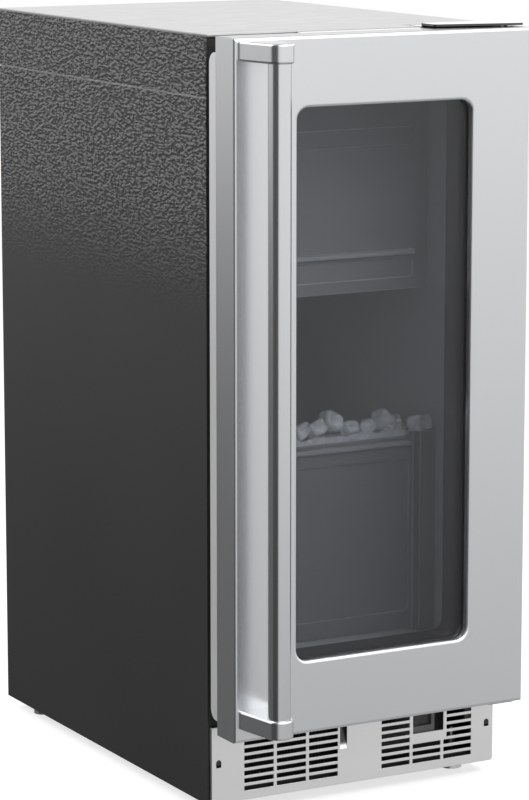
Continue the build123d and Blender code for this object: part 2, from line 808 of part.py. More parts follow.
# Handle: two arms with round noses, and the bar in their sockets
taper = math.radians(bracket_taper)
foot_half = nose_radius / math.cos(taper) + bar_stand * math.tan(taper)
shoulder_half = nose_radius * math.cos(taper)
shoulder_y = bar_y - nose_radius * math.sin(taper)
with BuildPart() as handle_brackets:
    for span in (bracket_top_z, bracket_bottom_z):
        with BuildSketch(Plane.XY.offset(span[0])):
            with BuildLine():
                Polyline(
                    (bar_x - foot_half, door_front),
                    (bar_x - shoulder_half, shoulder_y),
                    (bar_x + shoulder_half, shoulder_y),
                    (bar_x + foot_half, door_front),
                    close=True,
                )
            make_face()
            with Locations((bar_x, bar_y)):
                Circle(nose_radius)
        extrude(amount=span[1] - span[0])
    rims = handle_brackets.faces().filter_by(Axis.Z).edges()
    fillet(rims.filter_by_position(Axis.Y, door_front - handle_reach, door_front - 1), bracket_round)
    socket_low = bracket_bottom_z[1] - socket_depth
    socket_high = bracket_top_z[0] + socket_depth
    upright_cylinder(bar_x, bar_y, (socket_low, socket_high), bar_radius + running_gap, Mode.SUBTRACT)
    for z in handle_screw_heights:
        front_cylinder(
            bar_x,
            z,
            (door_front - handle_screw_length, door_front + 1),
            handle_screw_radius + running_gap,
            Mode.SUBTRACT,
        )
handle_brackets.part.label = "handle_brackets"
export_step(handle_brackets.part, "parts/handle_brackets.step")

with BuildPart() as handle_bar:
    upright_cylinder(bar_x, bar_y, (socket_low + seat_gap, socket_high - seat_gap), bar_radius)
handle_bar.part.label = "handle_bar"
export_step(handle_bar.part, "parts/handle_bar.step")

with BuildPart() as handle_screws:
    head_seat = door_front + door_sheet
    for z in handle_screw_heights:
        front_cylinder(bar_x, z, (head_seat, head_seat + head_height), head_radius)
        front_cylinder(bar_x, z, (head_seat - handle_screw_length, head_seat), handle_screw_radius)
handle_screws.part.label = "handle_screws"
export_step(handle_screws.part, "parts/handle_screws.step")

# Inner liner and insulation, both following the cavity with its step over the compressor
liner_front = cabinet_front + frame_sheet + seat_gap
pipe_hole_x = cavity_half - 30.0
pipe_hole_z = cavity_top - pipe_hole_drop
drain_hole_radius = 5.0
drain_line_radius = 7.0
drain_hole_y = step_front - 60.0


def cavity_outline(grow, front):
    """The side view of the cavity, grown outwards on every side but the front."""
    return (
        (front, cavity_top + grow),
        (cavity_rear + grow, cavity_top + grow),
        (cavity_rear + grow, step_top - grow),
        (step_front + grow, step_top - grow),
        (step_front + grow, cavity_floor - grow),
        (front, cavity_floor - grow),
    )


with BuildPart() as inner_liner:
    side_prism(
        cavity_outline(liner_sheet, liner_front),
        on_side(1, -cavity_half - liner_sheet, cavity_half + liner_sheet),
    )
    side_prism(cavity_outline(0, liner_front - 1), (-cavity_half, cavity_half), Mode.SUBTRACT)
    hole_y = (cavity_rear - 1, cavity_rear + liner_sheet + 1)
    front_cylinder(pipe_hole_x, pipe_hole_z, hole_y, pipe_hole_radius, Mode.SUBTRACT)
    hole_z = (cavity_floor - liner_sheet - 1, cavity_floor + 1)
    upright_cylinder(0, drain_hole_y, hole_z, drain_hole_radius, Mode.SUBTRACT)
inner_liner.part.label = "inner_liner"
export_step(inner_liner.part, "parts/inner_liner.step")

foam_top = under_top - foam_headroom
foam_back = rear_face - rear_sheet - seat_gap
foam_front = pan_front
chase_x = (pipe_hole_x - chase_width / 2, pipe_hole_x + chase_width / 2)
with BuildPart() as cabinet_foam:
    foam_outline = (
        (foam_front, foam_top),
        (pan_rear, foam_top),
        (pan_rear, step_top - floor_wall),
        (step_front + floor_wall, step_top - floor_wall),
        (step_front + floor_wall, bay_top),
        (foam_front, bay_top),
    )
    side_prism(foam_outline, (-inside_half, inside_half))
    around = liner_sheet + seat_gap
    side_prism(
        cavity_outline(around, foam_front - 1), (-cavity_half - around, cavity_half + around), Mode.SUBTRACT
    )
    front_cylinder(pipe_hole_x, pipe_hole_z, (cavity_rear, foam_back), pipe_hole_radius, Mode.SUBTRACT)
    block(
        chase_x,
        (pan_rear - chase_depth, pan_rear + 1),
        (step_top - floor_wall - 1, pipe_hole_z + 30),
        Mode.SUBTRACT,
    )
    drain_way = drain_line_radius + fit_gap
    upright_cylinder(0, drain_hole_y, (bay_top - 1, cavity_floor), drain_way, Mode.SUBTRACT)
    for side in (-1, 1):
        for height in rear_screw_heights[1:]:
            screw_x = side * (half_width - rear_screw_inset)
            front_cylinder(
                screw_x,
                height,
                (pan_rear - screw_length / 2, pan_rear),
                screw_radius + fit_gap,
                Mode.SUBTRACT,
            )
cabinet_foam.part.label = "cabinet_foam"
export_step(cabinet_foam.part, "parts/cabinet_foam.step")

# Front cover of the ice making section, ribbed across
cover_front = cabinet_front + 86.2
cover_sheet = 3.0
cover_rear = cover_front + cover_sheet
cover_half = cavity_half - 2.0
relief_half = cavity_half - 22.0
cover_bottom = cavity_top - 264.0
groove_drops = (75.5, 96.0)
ledge_drop = 217.4
ledge_height = 5.6
ledge_reach = 6.0
lower_band_drop = 249.7
relief_depth = 1.5
with BuildPart() as ice_maker_cover:
    block((-cover_half, cover_half), (cover_front, cover_rear), (cover_bottom, cavity_top - fit_gap))
    groove_z = (cavity_top - groove_drops[1], cavity_top - groove_drops[0])
    front_rectangle(
        cover_front - 1, (-relief_half, relief_half), groove_z, 5.0, 1 + relief_depth, Mode.SUBTRACT
    )
    ledge_top = cavity_top - ledge_drop
    with BuildSketch(Plane.YZ.offset(-relief_half)):
        with Locations((cover_front - ledge_reach / 2, ledge_top - ledge_height / 2)):
            Rectangle(ledge_reach, ledge_height)
    extrude(amount=2 * relief_half)
    fillet(ice_maker_cover.faces().sort_by(Axis.Y)[0].edges(), 1.5)
    lower_z = (cavity_top - lower_band_drop, ledge_top - ledge_height - 3.0)
    front_rectangle(
        cover_front - 1, (-relief_half, relief_half), lower_z, 5.0, 1 + relief_depth, Mode.SUBTRACT
    )
ice_maker_cover.part.label = "ice_maker_cover"
export_step(ice_maker_cover.part, "parts/ice_maker_cover.step")

# Dam: the removable front wall of the ice bin, sliding in two rails
dam_height = 231.3
dam_sheet = 5.0
dam_top = cavity_floor + dam_height
dam_bottom = cavity_floor + 1.0
dam_rear = cover_front + dam_sheet
dam_tongue = 6.0
rail_lip = 20.0
rail_depth = 32.0
rail_rise = 8.7
lip_drop = 4.5
lip_height = 6.0
lip_reach = 5.0
crease_drop = 25.9
dam_foot = 22.2
with BuildPart() as ice_dam:
    dam_half = relief_half + dam_tongue
    block((-dam_half, dam_half), (cover_front, dam_rear), (dam_bottom, dam_top))
    lip_top = dam_top - lip_drop
    block(
        (-relief_half + 1, relief_half - 1),
        (cover_front - lip_reach, cover_front),
        (lip_top - lip_height, lip_top),
    )
    fillet(ice_dam.faces().sort_by(Axis.Y)[0].edges(), 2.0)
    face_z = (cavity_floor + dam_foot, dam_top - crease_drop)
    face_half = relief_half - 3.0
    front_rectangle(cover_front - 1, (-face_half, face_half), face_z, 8.0, 1 + relief_depth, Mode.SUBTRACT)
ice_dam.part.label = "ice_dam"
export_step(ice_dam.part, "parts/ice_dam.step")

with BuildPart() as dam_rails:
    rail_front = cover_front - rail_lip
    for side in (-1, 1):
        rail_z = (cavity_floor + fit_gap, dam_top + rail_rise)
        block(
            on_side(side, relief_half, cavity_half - fit_gap), (rail_front, rail_front + rail_depth), rail_z
        )
        groove_y = (cover_front - fit_gap, dam_rear + fit_gap)
        block(on_side(side, relief_half - 1, dam_half + fit_gap), groove_y, grown(rail_z, 1), Mode.SUBTRACT)
dam_rails.part.label = "dam_rails"
export_step(dam_rails.part, "parts/dam_rails.step")

# Side brackets that carry the ice making parts
bracket_sheet = 3.0
bracket_half = cavity_half - fit_gap
span_half = bracket_half - bracket_sheet - fit_gap
bracket_y = (cover_rear + fit_gap, cavity_rear - 24.0)
bracket_z = (cavity_top - 246.0, cavity_top - 24.0)
with BuildPart() as evaporator_brackets:
    for side in (-1, 1):
        block(on_side(side, bracket_half - bracket_sheet, bracket_half), bracket_y, bracket_z)
evaporator_brackets.part.label = "evaporator_brackets"
export_step(evaporator_brackets.part, "parts/evaporator_brackets.step")

# Evaporator: sloping stainless plate with a rim on each side, and its coil underneath
plate_front = cover_rear + 178.0
plate_depth = 184.0
plate_low = cavity_top - 108.0
plate_tilt = 13.0
plate_sheet = 2.0
rim_height = 10.0
plate_plane = Plane((0, plate_front, plate_low), x_dir=(1, 0, 0), z_dir=(0, 0, 1)).rotated((plate_tilt, 0, 0))
with BuildPart(plate_plane) as evaporator_plate:
    with Locations((0, plate_depth / 2, plate_sheet / 2)):
        Box(2 * span_half, plate_depth, plate_sheet)
    for side in (-1, 1):
        with Locations((side * (span_half - plate_sheet / 2), plate_depth / 2, plate_sheet + rim_height / 2)):
            Box(plate_sheet, plate_depth, rim_height)
evaporator_plate.part.label = "evaporator_plate"
export_step(evaporator_plate.part, "parts/evaporator_plate.step")


def tube(points, radius, bend):
    """A round tube along straight runs joined by arcs of one radius."""
    with BuildLine() as route:
        FilletPolyline(*points, radius=bend)
    path = route.wires()[0]
    with BuildSketch(Plane(path @ 0, z_dir=path % 0)) as section:
        Circle(radius)
    sweep(section.sketch, path=path)


coil_radius = 4.0
coil_runs = 6
coil_pitch = 30.0
coil_margin = 17.0
coil_half = span_half - 40.0
coil_bend = coil_pitch / 2 - 0.5
coil_points = []
for run in range(coil_runs):
    along = coil_margin + run * coil_pitch
    ends = (coil_half, -coil_half) if run % 2 == 0 else (-coil_half, coil_half)
    for x in ends:
        local = Vector(x, along, -coil_radius - seat_gap)
        coil_points.append(tuple(plate_plane.from_local_coords(local)))
with BuildPart() as evaporator_coil:
    tube(coil_points, coil_radius, coil_bend)
evaporator_coil.part.label = "evaporator_coil"
export_step(evaporator_coil.part, "parts/evaporator_coil.step")

# Water distributor: a closed tube with a row of drip holes over the high edge of the plate
spray_radius = 9.0
spray_wall = 1.5
spray_holes = 12
spray_pitch = 22.0
drip_radius = 1.2
spray_y = plate_front + plate_depth - 14.0
spray_z = plate_low + plate_depth * math.sin(math.radians(plate_tilt)) + rim_height + 14.0
with BuildPart() as water_distributor:
    cross_cylinder(spray_y, spray_z, (-span_half, span_half), spray_radius)
    cross_cylinder(
        spray_y, spray_z, (-span_half + 3, span_half - 3), spray_radius - spray_wall, Mode.SUBTRACT
    )
    for hole in range(spray_holes):
        x = (hole - (spray_holes - 1) / 2) * spray_pitch
        upright_cylinder(x, spray_y, (spray_z - spray_radius - 1, spray_z), drip_radius, Mode.SUBTRACT)
water_distributor.part.label = "water_distributor"
export_step(water_distributor.part, "parts/water_distributor.step")

# Water sump under the low edge of the plate, with the ring that guides water into the pump
sump_wall = 2.0
sump_y = (plate_front - 8.0, plate_front + 62.0)
sump_top = plate_low - 18.0
sump_bottom = sump_top - 55.0
pump_x = span_half - 40.0
pump_y = plate_front + 27.0
vane_radius = 13.0
vane_height = 6.0
guide_radius = vane_radius + 1.5
shaft_radius = 1.5
with BuildPart() as water_sump:
    block((-span_half, span_half), sump_y, (sump_bottom, sump_top))
    block(
        grown((-span_half, span_half), -sump_wall),
        grown(sump_y, -sump_wall),
        (sump_bottom + sump_wall, sump_top + 1),
        Mode.SUBTRACT,
    )
    guide_z = (sump_bottom + sump_wall, sump_bottom + sump_wall + vane_height + 3)
    upright_cylinder(pump_x, pump_y, guide_z, guide_radius + sump_wall)
    upright_cylinder(pump_x, pump_y, guide_z, guide_radius, Mode.SUBTRACT)
    upright_cylinder(
        pump_x, pump_y, (sump_bottom - 1, sump_bottom + 5), shaft_radius + running_gap, Mode.SUBTRACT
    )
water_sump.part.label = "water_sump"
export_step(water_sump.part, "parts/water_sump.step")

# Circulation pump under the sump, and its impeller on a shaft
pump_radius = 19.0
pump_height = 34.0
shaft_reach = 20.0
barb_drop = 26.0
barb_radius = 4.0
pump_top = sump_bottom - seat_gap
with BuildPart() as circulation_pump:
    upright_cylinder(pump_x, pump_y, (pump_top - pump_height, pump_top), pump_radius)
    fillet(circulation_pump.faces().sort_by(Axis.Z)[0].edges(), 3.0)
    upright_cylinder(pump_x, pump_y, (pump_top - 3, pump_top), pump_radius + 5)
    barb_end = pump_y + pump_radius + 8
    front_cylinder(pump_x, pump_top - barb_drop, (pump_y + 10, barb_end), barb_radius)
    upright_cylinder(
        pump_x, pump_y, (pump_top - shaft_reach - 2, pump_top), shaft_radius + running_gap, Mode.SUBTRACT
    )
circulation_pump.part.label = "circulation_pump"
export_step(circulation_pump.part, "parts/circulation_pump.step")

with BuildPart() as pump_impeller:
    vane_bottom = sump_bottom + sump_wall + 0.5
    upright_cylinder(pump_x, pump_y, (pump_top - shaft_reach, vane_bottom + vane_height), shaft_radius)
    upright_cylinder(pump_x, pump_y, (vane_bottom, vane_bottom + vane_height), 4.0)
    with BuildSketch(Plane.XY.offset(vane_bottom)):
        with Locations((pump_x, pump_y)):
            with PolarLocations(vane_radius / 2, 6):
                Rectangle(vane_radius - 0.4, 1.4)
    extrude(amount=vane_height)
pump_impeller.part.label = "pump_impeller"
export_step(pump_impeller.part, "parts/pump_impeller.step")

# Cutter grid: a frame sloping to the front, with two layers of heated wire across it
grid_depth = 150.0
grid_height = 14.0
grid_bar = 10.0
grid_tilt = 11.0
wire_radius = 0.5
wire_pitch = 24.0
grid_front = cover_rear + 18.0
grid_low = sump_top - 30.0
grid_plane = Plane((0, grid_front, grid_low), x_dir=(1, 0, 0), z_dir=(0, 0, 1)).rotated((grid_tilt, 0, 0))
with BuildPart(grid_plane) as cutter_grid:
    with Locations((0, grid_depth / 2, grid_height / 2)):
        Box(2 * span_half, grid_depth, grid_height)
        Box(2 * (span_half - grid_bar), grid_depth - 2 * grid_bar, grid_height, mode=Mode.SUBTRACT)
cutter_grid.part.label = "cutter_grid"
export_step(cutter_grid.part, "parts/cutter_grid.step")

with BuildPart(grid_plane) as cutter_wires:
    wire_half = span_half - grid_bar
    wire_length = grid_depth - 2 * grid_bar
    down_wires = int(2 * wire_half // wire_pitch)
    for wire in range(down_wires):
        x = (wire - (down_wires - 1) / 2) * wire_pitch
        with Locations(Location((x, grid_depth / 2, grid_height - 3), (90, 0, 0))):
            Cylinder(wire_radius, wire_length)
    cross_wires = int(wire_length // wire_pitch)
    for wire in range(cross_wires):
        y = grid_depth / 2 + (wire - (cross_wires - 1) / 2) * wire_pitch
        with Locations(Location((0, y, grid_height - 6), (0, 90, 0))):
            Cylinder(wire_radius, 2 * wire_half)
cutter_wires.part.label = "cutter_wires"
export_step(cutter_wires.part, "parts/cutter_wires.step")

# Ice: a heap of clear cubes behind the dam, and one cube on the flat top of the right rail
cube_side = 24.0
cube_height = 16.0
heap_half = cavity_half - 2.0
heap_front = cover_front - rail_lip + rail_depth + 1.0
heap_low = cavity_floor + fit_gap
heap_pitch = 33.0
heap_columns = 8
heap_rows = 8
heap_crest_y = heap_front + 40.0
heap_crest_z = dam_top + 7.0
heap_back_z = step_top + 30.0
lone_cube = (135.0, cover_front - 9.0, dam_top + rail_rise + seat_gap)
front_cubes = (
    (-40.0, 182.0, 412.0, 20.0, 30.0, 10.0),
    (-16.0, 181.0, 410.0, 10.0, 20.0, 50.0),
    (-6.0, 180.0, 427.0, 30.0, 20.0, 10.0),
    (28.0, 179.0, 411.0, 45.0, 38.0, 20.0),
    (66.0, 180.0, 408.0, 10.0, 8.0, 25.0),
    (94.0, 181.0, 402.0, -20.0, 12.0, 35.0),
    (117.0, 181.0, 405.0, 35.0, 42.0, 15.0),
)
with BuildPart() as ice:
    heap_outline = (
        (heap_front, heap_low),
        (step_front - 2.0, heap_low),
        (step_front - 2.0, step_top + 1.5),
        (cavity_rear - 3.0, step_top + 1.5),
        (cavity_rear - 3.0, heap_back_z),
        (heap_crest_y, heap_crest_z),
        (heap_front, heap_crest_z - 2.0),
    )
    side_prism(heap_outline, (-heap_half, heap_half))
    heap_slope = (heap_crest_z - heap_back_z) / (cavity_rear - 3.0 - heap_crest_y)
    for row in range(heap_rows):
        for column in range(heap_columns):
            turn = (row * 37 + column * 53) % 90
            lean = (row * 29 + column * 17) % 40 - 20
            x = (column - (heap_columns - 1) / 2) * heap_pitch + (row % 3 - 1) * 5.0
            y = heap_crest_y + 20.0 + row * heap_pitch
            z = heap_crest_z - heap_slope * (y - heap_crest_y) - 1.0 + (row * 7 + column * 5) % 6
            with Locations(Location((x, y, z), (lean, lean / 2, turn))):
                Box(cube_side, cube_side, cube_height)
    for x, back, z, lean, roll, turn in front_cubes:
        with Locations(Location((x, door_front + back, z), (lean, roll, turn))):
            Box(cube_side, cube_side, cube_height)
    lone_x, lone_y, lone_z = lone_cube
    with Locations((lone_x, lone_y, lone_z + cube_height / 2)):
        Box(cube_side, cube_side, cube_height)
    lone_edges = [
        edge for edge in ice.edges() if edge.center().Z > lone_z + 1 and edge.center().Y < lone_y + 13
    ]
    fillet([edge for edge in lone_edges if edge.center().X > lone_x - 13], 3.0)
ice.part.label = "ice"
export_step(ice.part, "parts/ice.step")

# Condenser behind the left slots: flat fins pressed on one serpentine tube
fin_x = (-146.0, -16.0)
fin_y = (grille_rear + 12.3, grille_rear + 62.3)
fin_z = (base_top + seat_gap, 105.0)
fin_sheet = 0.6
fin_pitch = 4.0
tube_radius = 3.5
tube_y = fin_y[0] + 16.0
tube_pitch = 22.0
tube_low_z = 28.0
tube_rows = 4
with BuildPart() as condenser_fins:
    for fin in range(int((fin_x[1] - fin_x[0]) / fin_pitch) + 1):
        x = fin_x[0] + fin * fin_pitch
        block((x, x + fin_sheet), fin_y, fin_z)
    for row in range(tube_rows):
        z = tube_low_z + row * tube_pitch
        cross_cylinder(tube_y, z, grown(fin_x, 2), tube_radius + running_gap, Mode.SUBTRACT)
condenser_fins.part.label = "condenser_fins"
export_step(condenser_fins.part, "parts/condenser_fins.step")

tube_points = []
for row in range(tube_rows):
    z = tube_low_z + (tube_rows - 1 - row) * tube_pitch
    reach = (fin_x[1] + 3.0 if row == 0 else fin_x[1] + 2.0 + tube_pitch / 2, fin_x[0] - 2.0 - tube_pitch / 2)
    if row == tube_rows - 1:
        reach = (fin_x[1] + 3.0, fin_x[0] - 2.0 - tube_pitch / 2)
    for x in reach if row % 2 == 0 else reversed(reach):
        tube_points.append((x, tube_y, z))
with BuildPart() as condenser_tube:
    tube(tube_points, tube_radius, tube_pitch / 2 - 0.5)
condenser_tube.part.label = "condenser_tube"
export_step(condenser_tube.part, "parts/condenser_tube.step")

# Fan behind the condenser: shroud with a ring hole and a motor cross, motor, blades
shroud_y = (fin_y[1] + 2.0, fin_y[1] + 4.0)
shroud_z = (base_top + seat_gap, 107.5)
shroud_foot = 16.0
fan_x = (fin_x[0] + fin_x[1]) / 2
fan_z = (shroud_z[0] + shroud_z[1]) / 2
fan_hole_radius = 43.0
fan_radius = 41.0
hub_radius = 12.0
hub_y = (shroud_y[1] + 4.0, shroud_y[1] + 18.0)
motor_radius = 20.0
motor_y = (hub_y[1] + 4.0, hub_y[1] + 38.0)
post_offset = 33.5
post_half = 3.0
cross_y = (motor_y[1] + fit_gap, motor_y[1] + fit_gap + 3.0)
with BuildPart() as fan_shroud:
    block(fin_x, shroud_y, shroud_z)
    block(fin_x, (shroud_y[0], shroud_y[1] + shroud_foot), (shroud_z[0], shroud_z[0] + 1.0))
    front_cylinder(fan_x, fan_z, grown(shroud_y, 1), fan_hole_radius, Mode.SUBTRACT)
    for sx in (-1, 1):
        for sz in (-1, 1):
            post_x = fan_x + sx * post_offset
            post_z = fan_z + sz * post_offset
            post_y = (shroud_y[1], cross_y[1])
            block((post_x - post_half, post_x + post_half), post_y, (post_z - post_half, post_z + post_half))
    for lean in (-45, 45):
        with Locations(Location((fan_x, (cross_y[0] + cross_y[1]) / 2, fan_z), (0, lean, 0))):
            Box(2 * post_offset * math.sqrt(2), cross_y[1] - cross_y[0], 2 * post_half)
fan_shroud.part.label = "fan_shroud"
export_step(fan_shroud.part, "parts/fan_shroud.step")

fan_shaft_radius = 2.5
shaft_socket = 16.0
with BuildPart() as fan_motor:
    front_cylinder(fan_x, fan_z, motor_y, motor_radius)
    fillet(fan_motor.faces().sort_by(Axis.Y)[0].edges(), 3.0)
    front_cylinder(
        fan_x,
        fan_z,
        (motor_y[0] - 1, motor_y[0] + shaft_socket),
        fan_shaft_radius + running_gap,
        Mode.SUBTRACT,
    )
fan_motor.part.label = "fan_motor"
export_step(fan_motor.part, "parts/fan_motor.step")

blade_count = 5
blade_chord = 22.0
blade_sheet = 1.6
blade_pitch = 30.0
with BuildPart() as fan_blade:
    hub_middle = (hub_y[0] + hub_y[1]) / 2
    blade_reach = fan_radius - hub_radius / 2
    for blade in range(blade_count):
        spoke = Location((fan_x, hub_middle, fan_z), (0, blade * 360 / blade_count, 0))
        with Locations(spoke * Location((hub_radius / 2 + blade_reach / 2, 0, 0), (blade_pitch, 0, 0))):
            Box(blade_reach, blade_chord, blade_sheet)
    front_cylinder(fan_x, fan_z, hub_y, fan_radius, Mode.INTERSECT)
    front_cylinder(fan_x, fan_z, hub_y, hub_radius)
    front_cylinder(fan_x, fan_z, (hub_middle, motor_y[0] + shaft_socket - 2.0), fan_shaft_radius)
fan_blade.part.label = "fan_blade"
export_step(fan_blade.part, "parts/fan_blade.step")

# Compressor on four rubber mounts, behind under the step of the cavity
shell_x = 61.0
shell_y = 252.8
shell_radius = 62.0
shell_z = (base_top + 19.0, 188.6)
shell_dome = 24.0
shell_wall = 8.0
stub_bore = 3.0
foot_plate_z = (base_top + 14.0, base_top + 17.0)
foot_plate_half = (65.0, 50.0)
mount_spread = (55.0, 40.0)
mount_radius = 9.0
mount_neck = 5.0
stub_top = 200.0
suction_stub = (shell_x + 30.0, shell_y + 20.0)
discharge_stub = (shell_x - 35.0, shell_y)
with BuildPart() as compressor:
    upright_cylinder(shell_x, shell_y, shell_z, shell_radius)
    fillet(compressor.edges().filter_by(GeomType.CIRCLE), shell_dome)
    seam_z = (shell_z[0] + shell_z[1]) / 2
    upright_cylinder(shell_x, shell_y, (seam_z - 2.5, seam_z + 2.5), shell_radius + 2.5)
    foot_x = (shell_x - foot_plate_half[0], shell_x + foot_plate_half[0])
    foot_y = (shell_y - foot_plate_half[1], shell_y + foot_plate_half[1])
    block(foot_x, foot_y, foot_plate_z)
    upright_cylinder(shell_x, shell_y, (foot_plate_z[1] - 1, shell_z[0] + 12), 40.0)
    block(
        (shell_x - shell_radius - 18, shell_x - 40), (shell_y - 22, shell_y + 22), (seam_z + 8, seam_z + 48)
    )
    upright_cylinder(*suction_stub, (shell_z[1] - 5, stub_top), 4.5)
    upright_cylinder(*discharge_stub, (shell_z[1] - 5, stub_top), 3.5)
    shell_inside = grown(shell_z, -shell_wall)
    upright_cylinder(shell_x, shell_y, shell_inside, shell_radius - shell_wall, Mode.SUBTRACT)
    upright_cylinder(*suction_stub, (shell_inside[1] - 1, stub_top + 1), stub_bore, Mode.SUBTRACT)
    for sx in (-1, 1):
        for sy in (-1, 1):
            mount_x = shell_x + sx * mount_spread[0]
            mount_y = shell_y + sy * mount_spread[1]
            upright_cylinder(mount_x, mount_y, grown(foot_plate_z, 1), mount_neck + seat_gap, Mode.SUBTRACT)
compressor.part.label = "compressor"
export_step(compressor.part, "parts/compressor.step")

with BuildPart() as compressor_mounts:
    for sx in (-1, 1):
        for sy in (-1, 1):
            mount_x = shell_x + sx * mount_spread[0]
            mount_y = shell_y + sy * mount_spread[1]
            upright_cylinder(
                mount_x, mount_y, (base_top + seat_gap, foot_plate_z[0] - seat_gap), mount_radius
            )
            upright_cylinder(mount_x, mount_y, (foot_plate_z[0] - 1, foot_plate_z[1] + 6), mount_neck)
compressor_mounts.part.label = "compressor_mounts"
export_step(compressor_mounts.part, "parts/compressor_mounts.step")

# Filter drier, standing beside the compressor
drier_x = -100.0
drier_y = 240.0
drier_z = (118.0, 192.0)
drier_radius = 10.0
drier_neck = 3.5
drier_ends = (110.0, 200.0)
with BuildPart() as filter_drier:
    upright_cylinder(drier_x, drier_y, drier_z, drier_radius)
    chamfer(filter_drier.edges().filter_by(GeomType.CIRCLE), 5.0)
    upright_cylinder(drier_x, drier_y, drier_ends, drier_neck)
filter_drier.part.label = "filter_drier"
export_step(filter_drier.part, "parts/filter_drier.step")

# Refrigerant lines: suction, capillary, discharge, liquid
riser_y = pan_rear - 9.4
capillary_y = pan_rear - 19.4
coil_out = coil_points[-1]
coil_in = coil_points[0]
suction_radius = 4.0
capillary_radius = 2.5
discharge_radius = 3.0
suction_x = pipe_hole_x + 3.0
capillary_x = pipe_hole_x + 5.0
clear_x = pipe_hole_x + 9.0
capillary_z = pipe_hole_z - 9.6
cross_z = 215.0
condenser_end = fin_x[1] + 3.0 + seat_gap
condenser_top = tube_low_z + (tube_rows - 1) * tube_pitch
suction_route = (
    (coil_out[0] + seat_gap, coil_out[1], coil_out[2]),
    (suction_x, coil_out[1], coil_out[2]),
    (suction_x, riser_y, coil_out[2]),
    (suction_x, riser_y, cross_z),
    (suction_stub[0], suction_stub[1], cross_z),
    (suction_stub[0], suction_stub[1], stub_top + seat_gap),
)
capillary_route = (
    (drier_x, drier_y, drier_ends[1] + seat_gap),
    (drier_x, drier_y, cross_z + 13),
    (capillary_x, capillary_y, cross_z + 13),
    (capillary_x, capillary_y, capillary_z),
    (capillary_x, cavity_rear - 20, capillary_z),
    (clear_x, cavity_rear - 82, capillary_z - 10),
    (clear_x, coil_in[1], coil_in[2]),
    (coil_in[0] + seat_gap, coil_in[1], coil_in[2]),
)
discharge_route = (
    (discharge_stub[0], discharge_stub[1], stub_top + seat_gap),
    (discharge_stub[0], discharge_stub[1], cross_z - 3),
    (-28.0, shell_y - 12, cross_z - 3),
    (-28.0, shell_y - 12, 105.0),
    (15.0, 150.0, condenser_top),
    (15.0, tube_y, condenser_top),
    (condenser_end, tube_y, condenser_top),
)
liquid_route = (
    (condenser_end, tube_y, tube_low_z),
    (12.0, tube_y, tube_low_z),
    (12.0, 60.0, tube_low_z),
    (-40.0, 110.0, tube_low_z),
    (-40.0, 200.0, tube_low_z),
    (drier_x, drier_y, tube_low_z),
    (drier_x, drier_y, drier_ends[0] - seat_gap),
)
with BuildPart() as refrigerant_lines:
    tube(suction_route, suction_radius, 7.0)
    tube(capillary_route, capillary_radius, 5.0)
    tube(discharge_route, discharge_radius, 5.5)
    tube(liquid_route, capillary_radius, 5.5)
refrigerant_lines.part.label = "refrigerant_lines"
export_step(refrigerant_lines.part, "parts/refrigerant_lines.step")

# Water inlet valve: hose connector through the rear panel, body, coil, bracket to the panel
valve_sheet = 2.0
valve_front = cabinet_rear - inlet_length
valve_body = (17.0, 35.0, 18.0)
outlet_radius = 4.0
outlet_y = valve_front - valve_body[1] - 14.0
with BuildPart() as water_inlet_valve:
    body_x = (inlet_x - valve_body[0], inlet_x + valve_body[0])
    body_z = (inlet_z - valve_body[2], inlet_z + valve_body[2])
    block(body_x, (valve_front - valve_body[1], valve_front), body_z)
    fillet(water_inlet_valve.edges().filter_by(Axis.Y), 3.0)
    block((inlet_x - 12, inlet_x + 12), (valve_front - 30, valve_front - 6), (body_z[1] - 1, body_z[1] + 28))
    bracket_x = grown(body_x, 8)
    block(bracket_x, (valve_front - valve_sheet, valve_front), body_z)
    for side in (0, 1):
        tab_x = sorted((bracket_x[side], bracket_x[side] + (valve_sheet if side == 0 else -valve_sheet)))
        block(tab_x, (valve_front, rear_face - rear_sheet - seat_gap), body_z)
    front_cylinder(inlet_x, inlet_z, (valve_front, cabinet_rear), inlet_radius)
    front_cylinder(inlet_x, inlet_z, (cabinet_rear - 12, cabinet_rear + 1), 8.0, Mode.SUBTRACT)
    front_cylinder(inlet_x, inlet_z, (outlet_y, valve_front - valve_body[1]), outlet_radius)
water_inlet_valve.part.label = "water_inlet_valve"
export_step(water_inlet_valve.part, "parts/water_inlet_valve.step")

# Water lines: valve to sump through the rear wall, and pump to distributor
water_radius = 4.0
water_x = pipe_hole_x - 9.0
water_y = pan_rear - 13.4
water_z = pipe_hole_z + 3.4
fill_z = sump_top + 8.4
inlet_route = (
    (inlet_x, outlet_y - seat_gap, inlet_z),
    (inlet_x, outlet_y - 20, inlet_z),
    (inlet_x, outlet_y - 20, cross_z + 23),
    (water_x, water_y, cross_z + 23),
    (water_x, water_y, water_z),
    (water_x, cavity_rear - 18, water_z),
    (water_x, cavity_rear - 18, fill_z),
    (water_x, sump_y[1] - 12, fill_z),
)
pump_line_y = cavity_rear - 7.8
spray_route = (
    (pump_x, barb_end + seat_gap, pump_top - barb_drop),
    (pump_x, barb_end + 30, pump_top - barb_drop),
    (pump_x - 15, pump_line_y, pump_top - barb_drop),
    (pump_x - 15, pump_line_y, spray_z),
    (pump_x - 15, spray_y + spray_radius + seat_gap, spray_z),
)
with BuildPart() as water_lines:
    tube(inlet_route, water_radius, 7.0)
    tube(spray_route, water_radius, 7.0)
water_lines.part.label = "water_lines"
export_step(water_lines.part, "parts/water_lines.step")

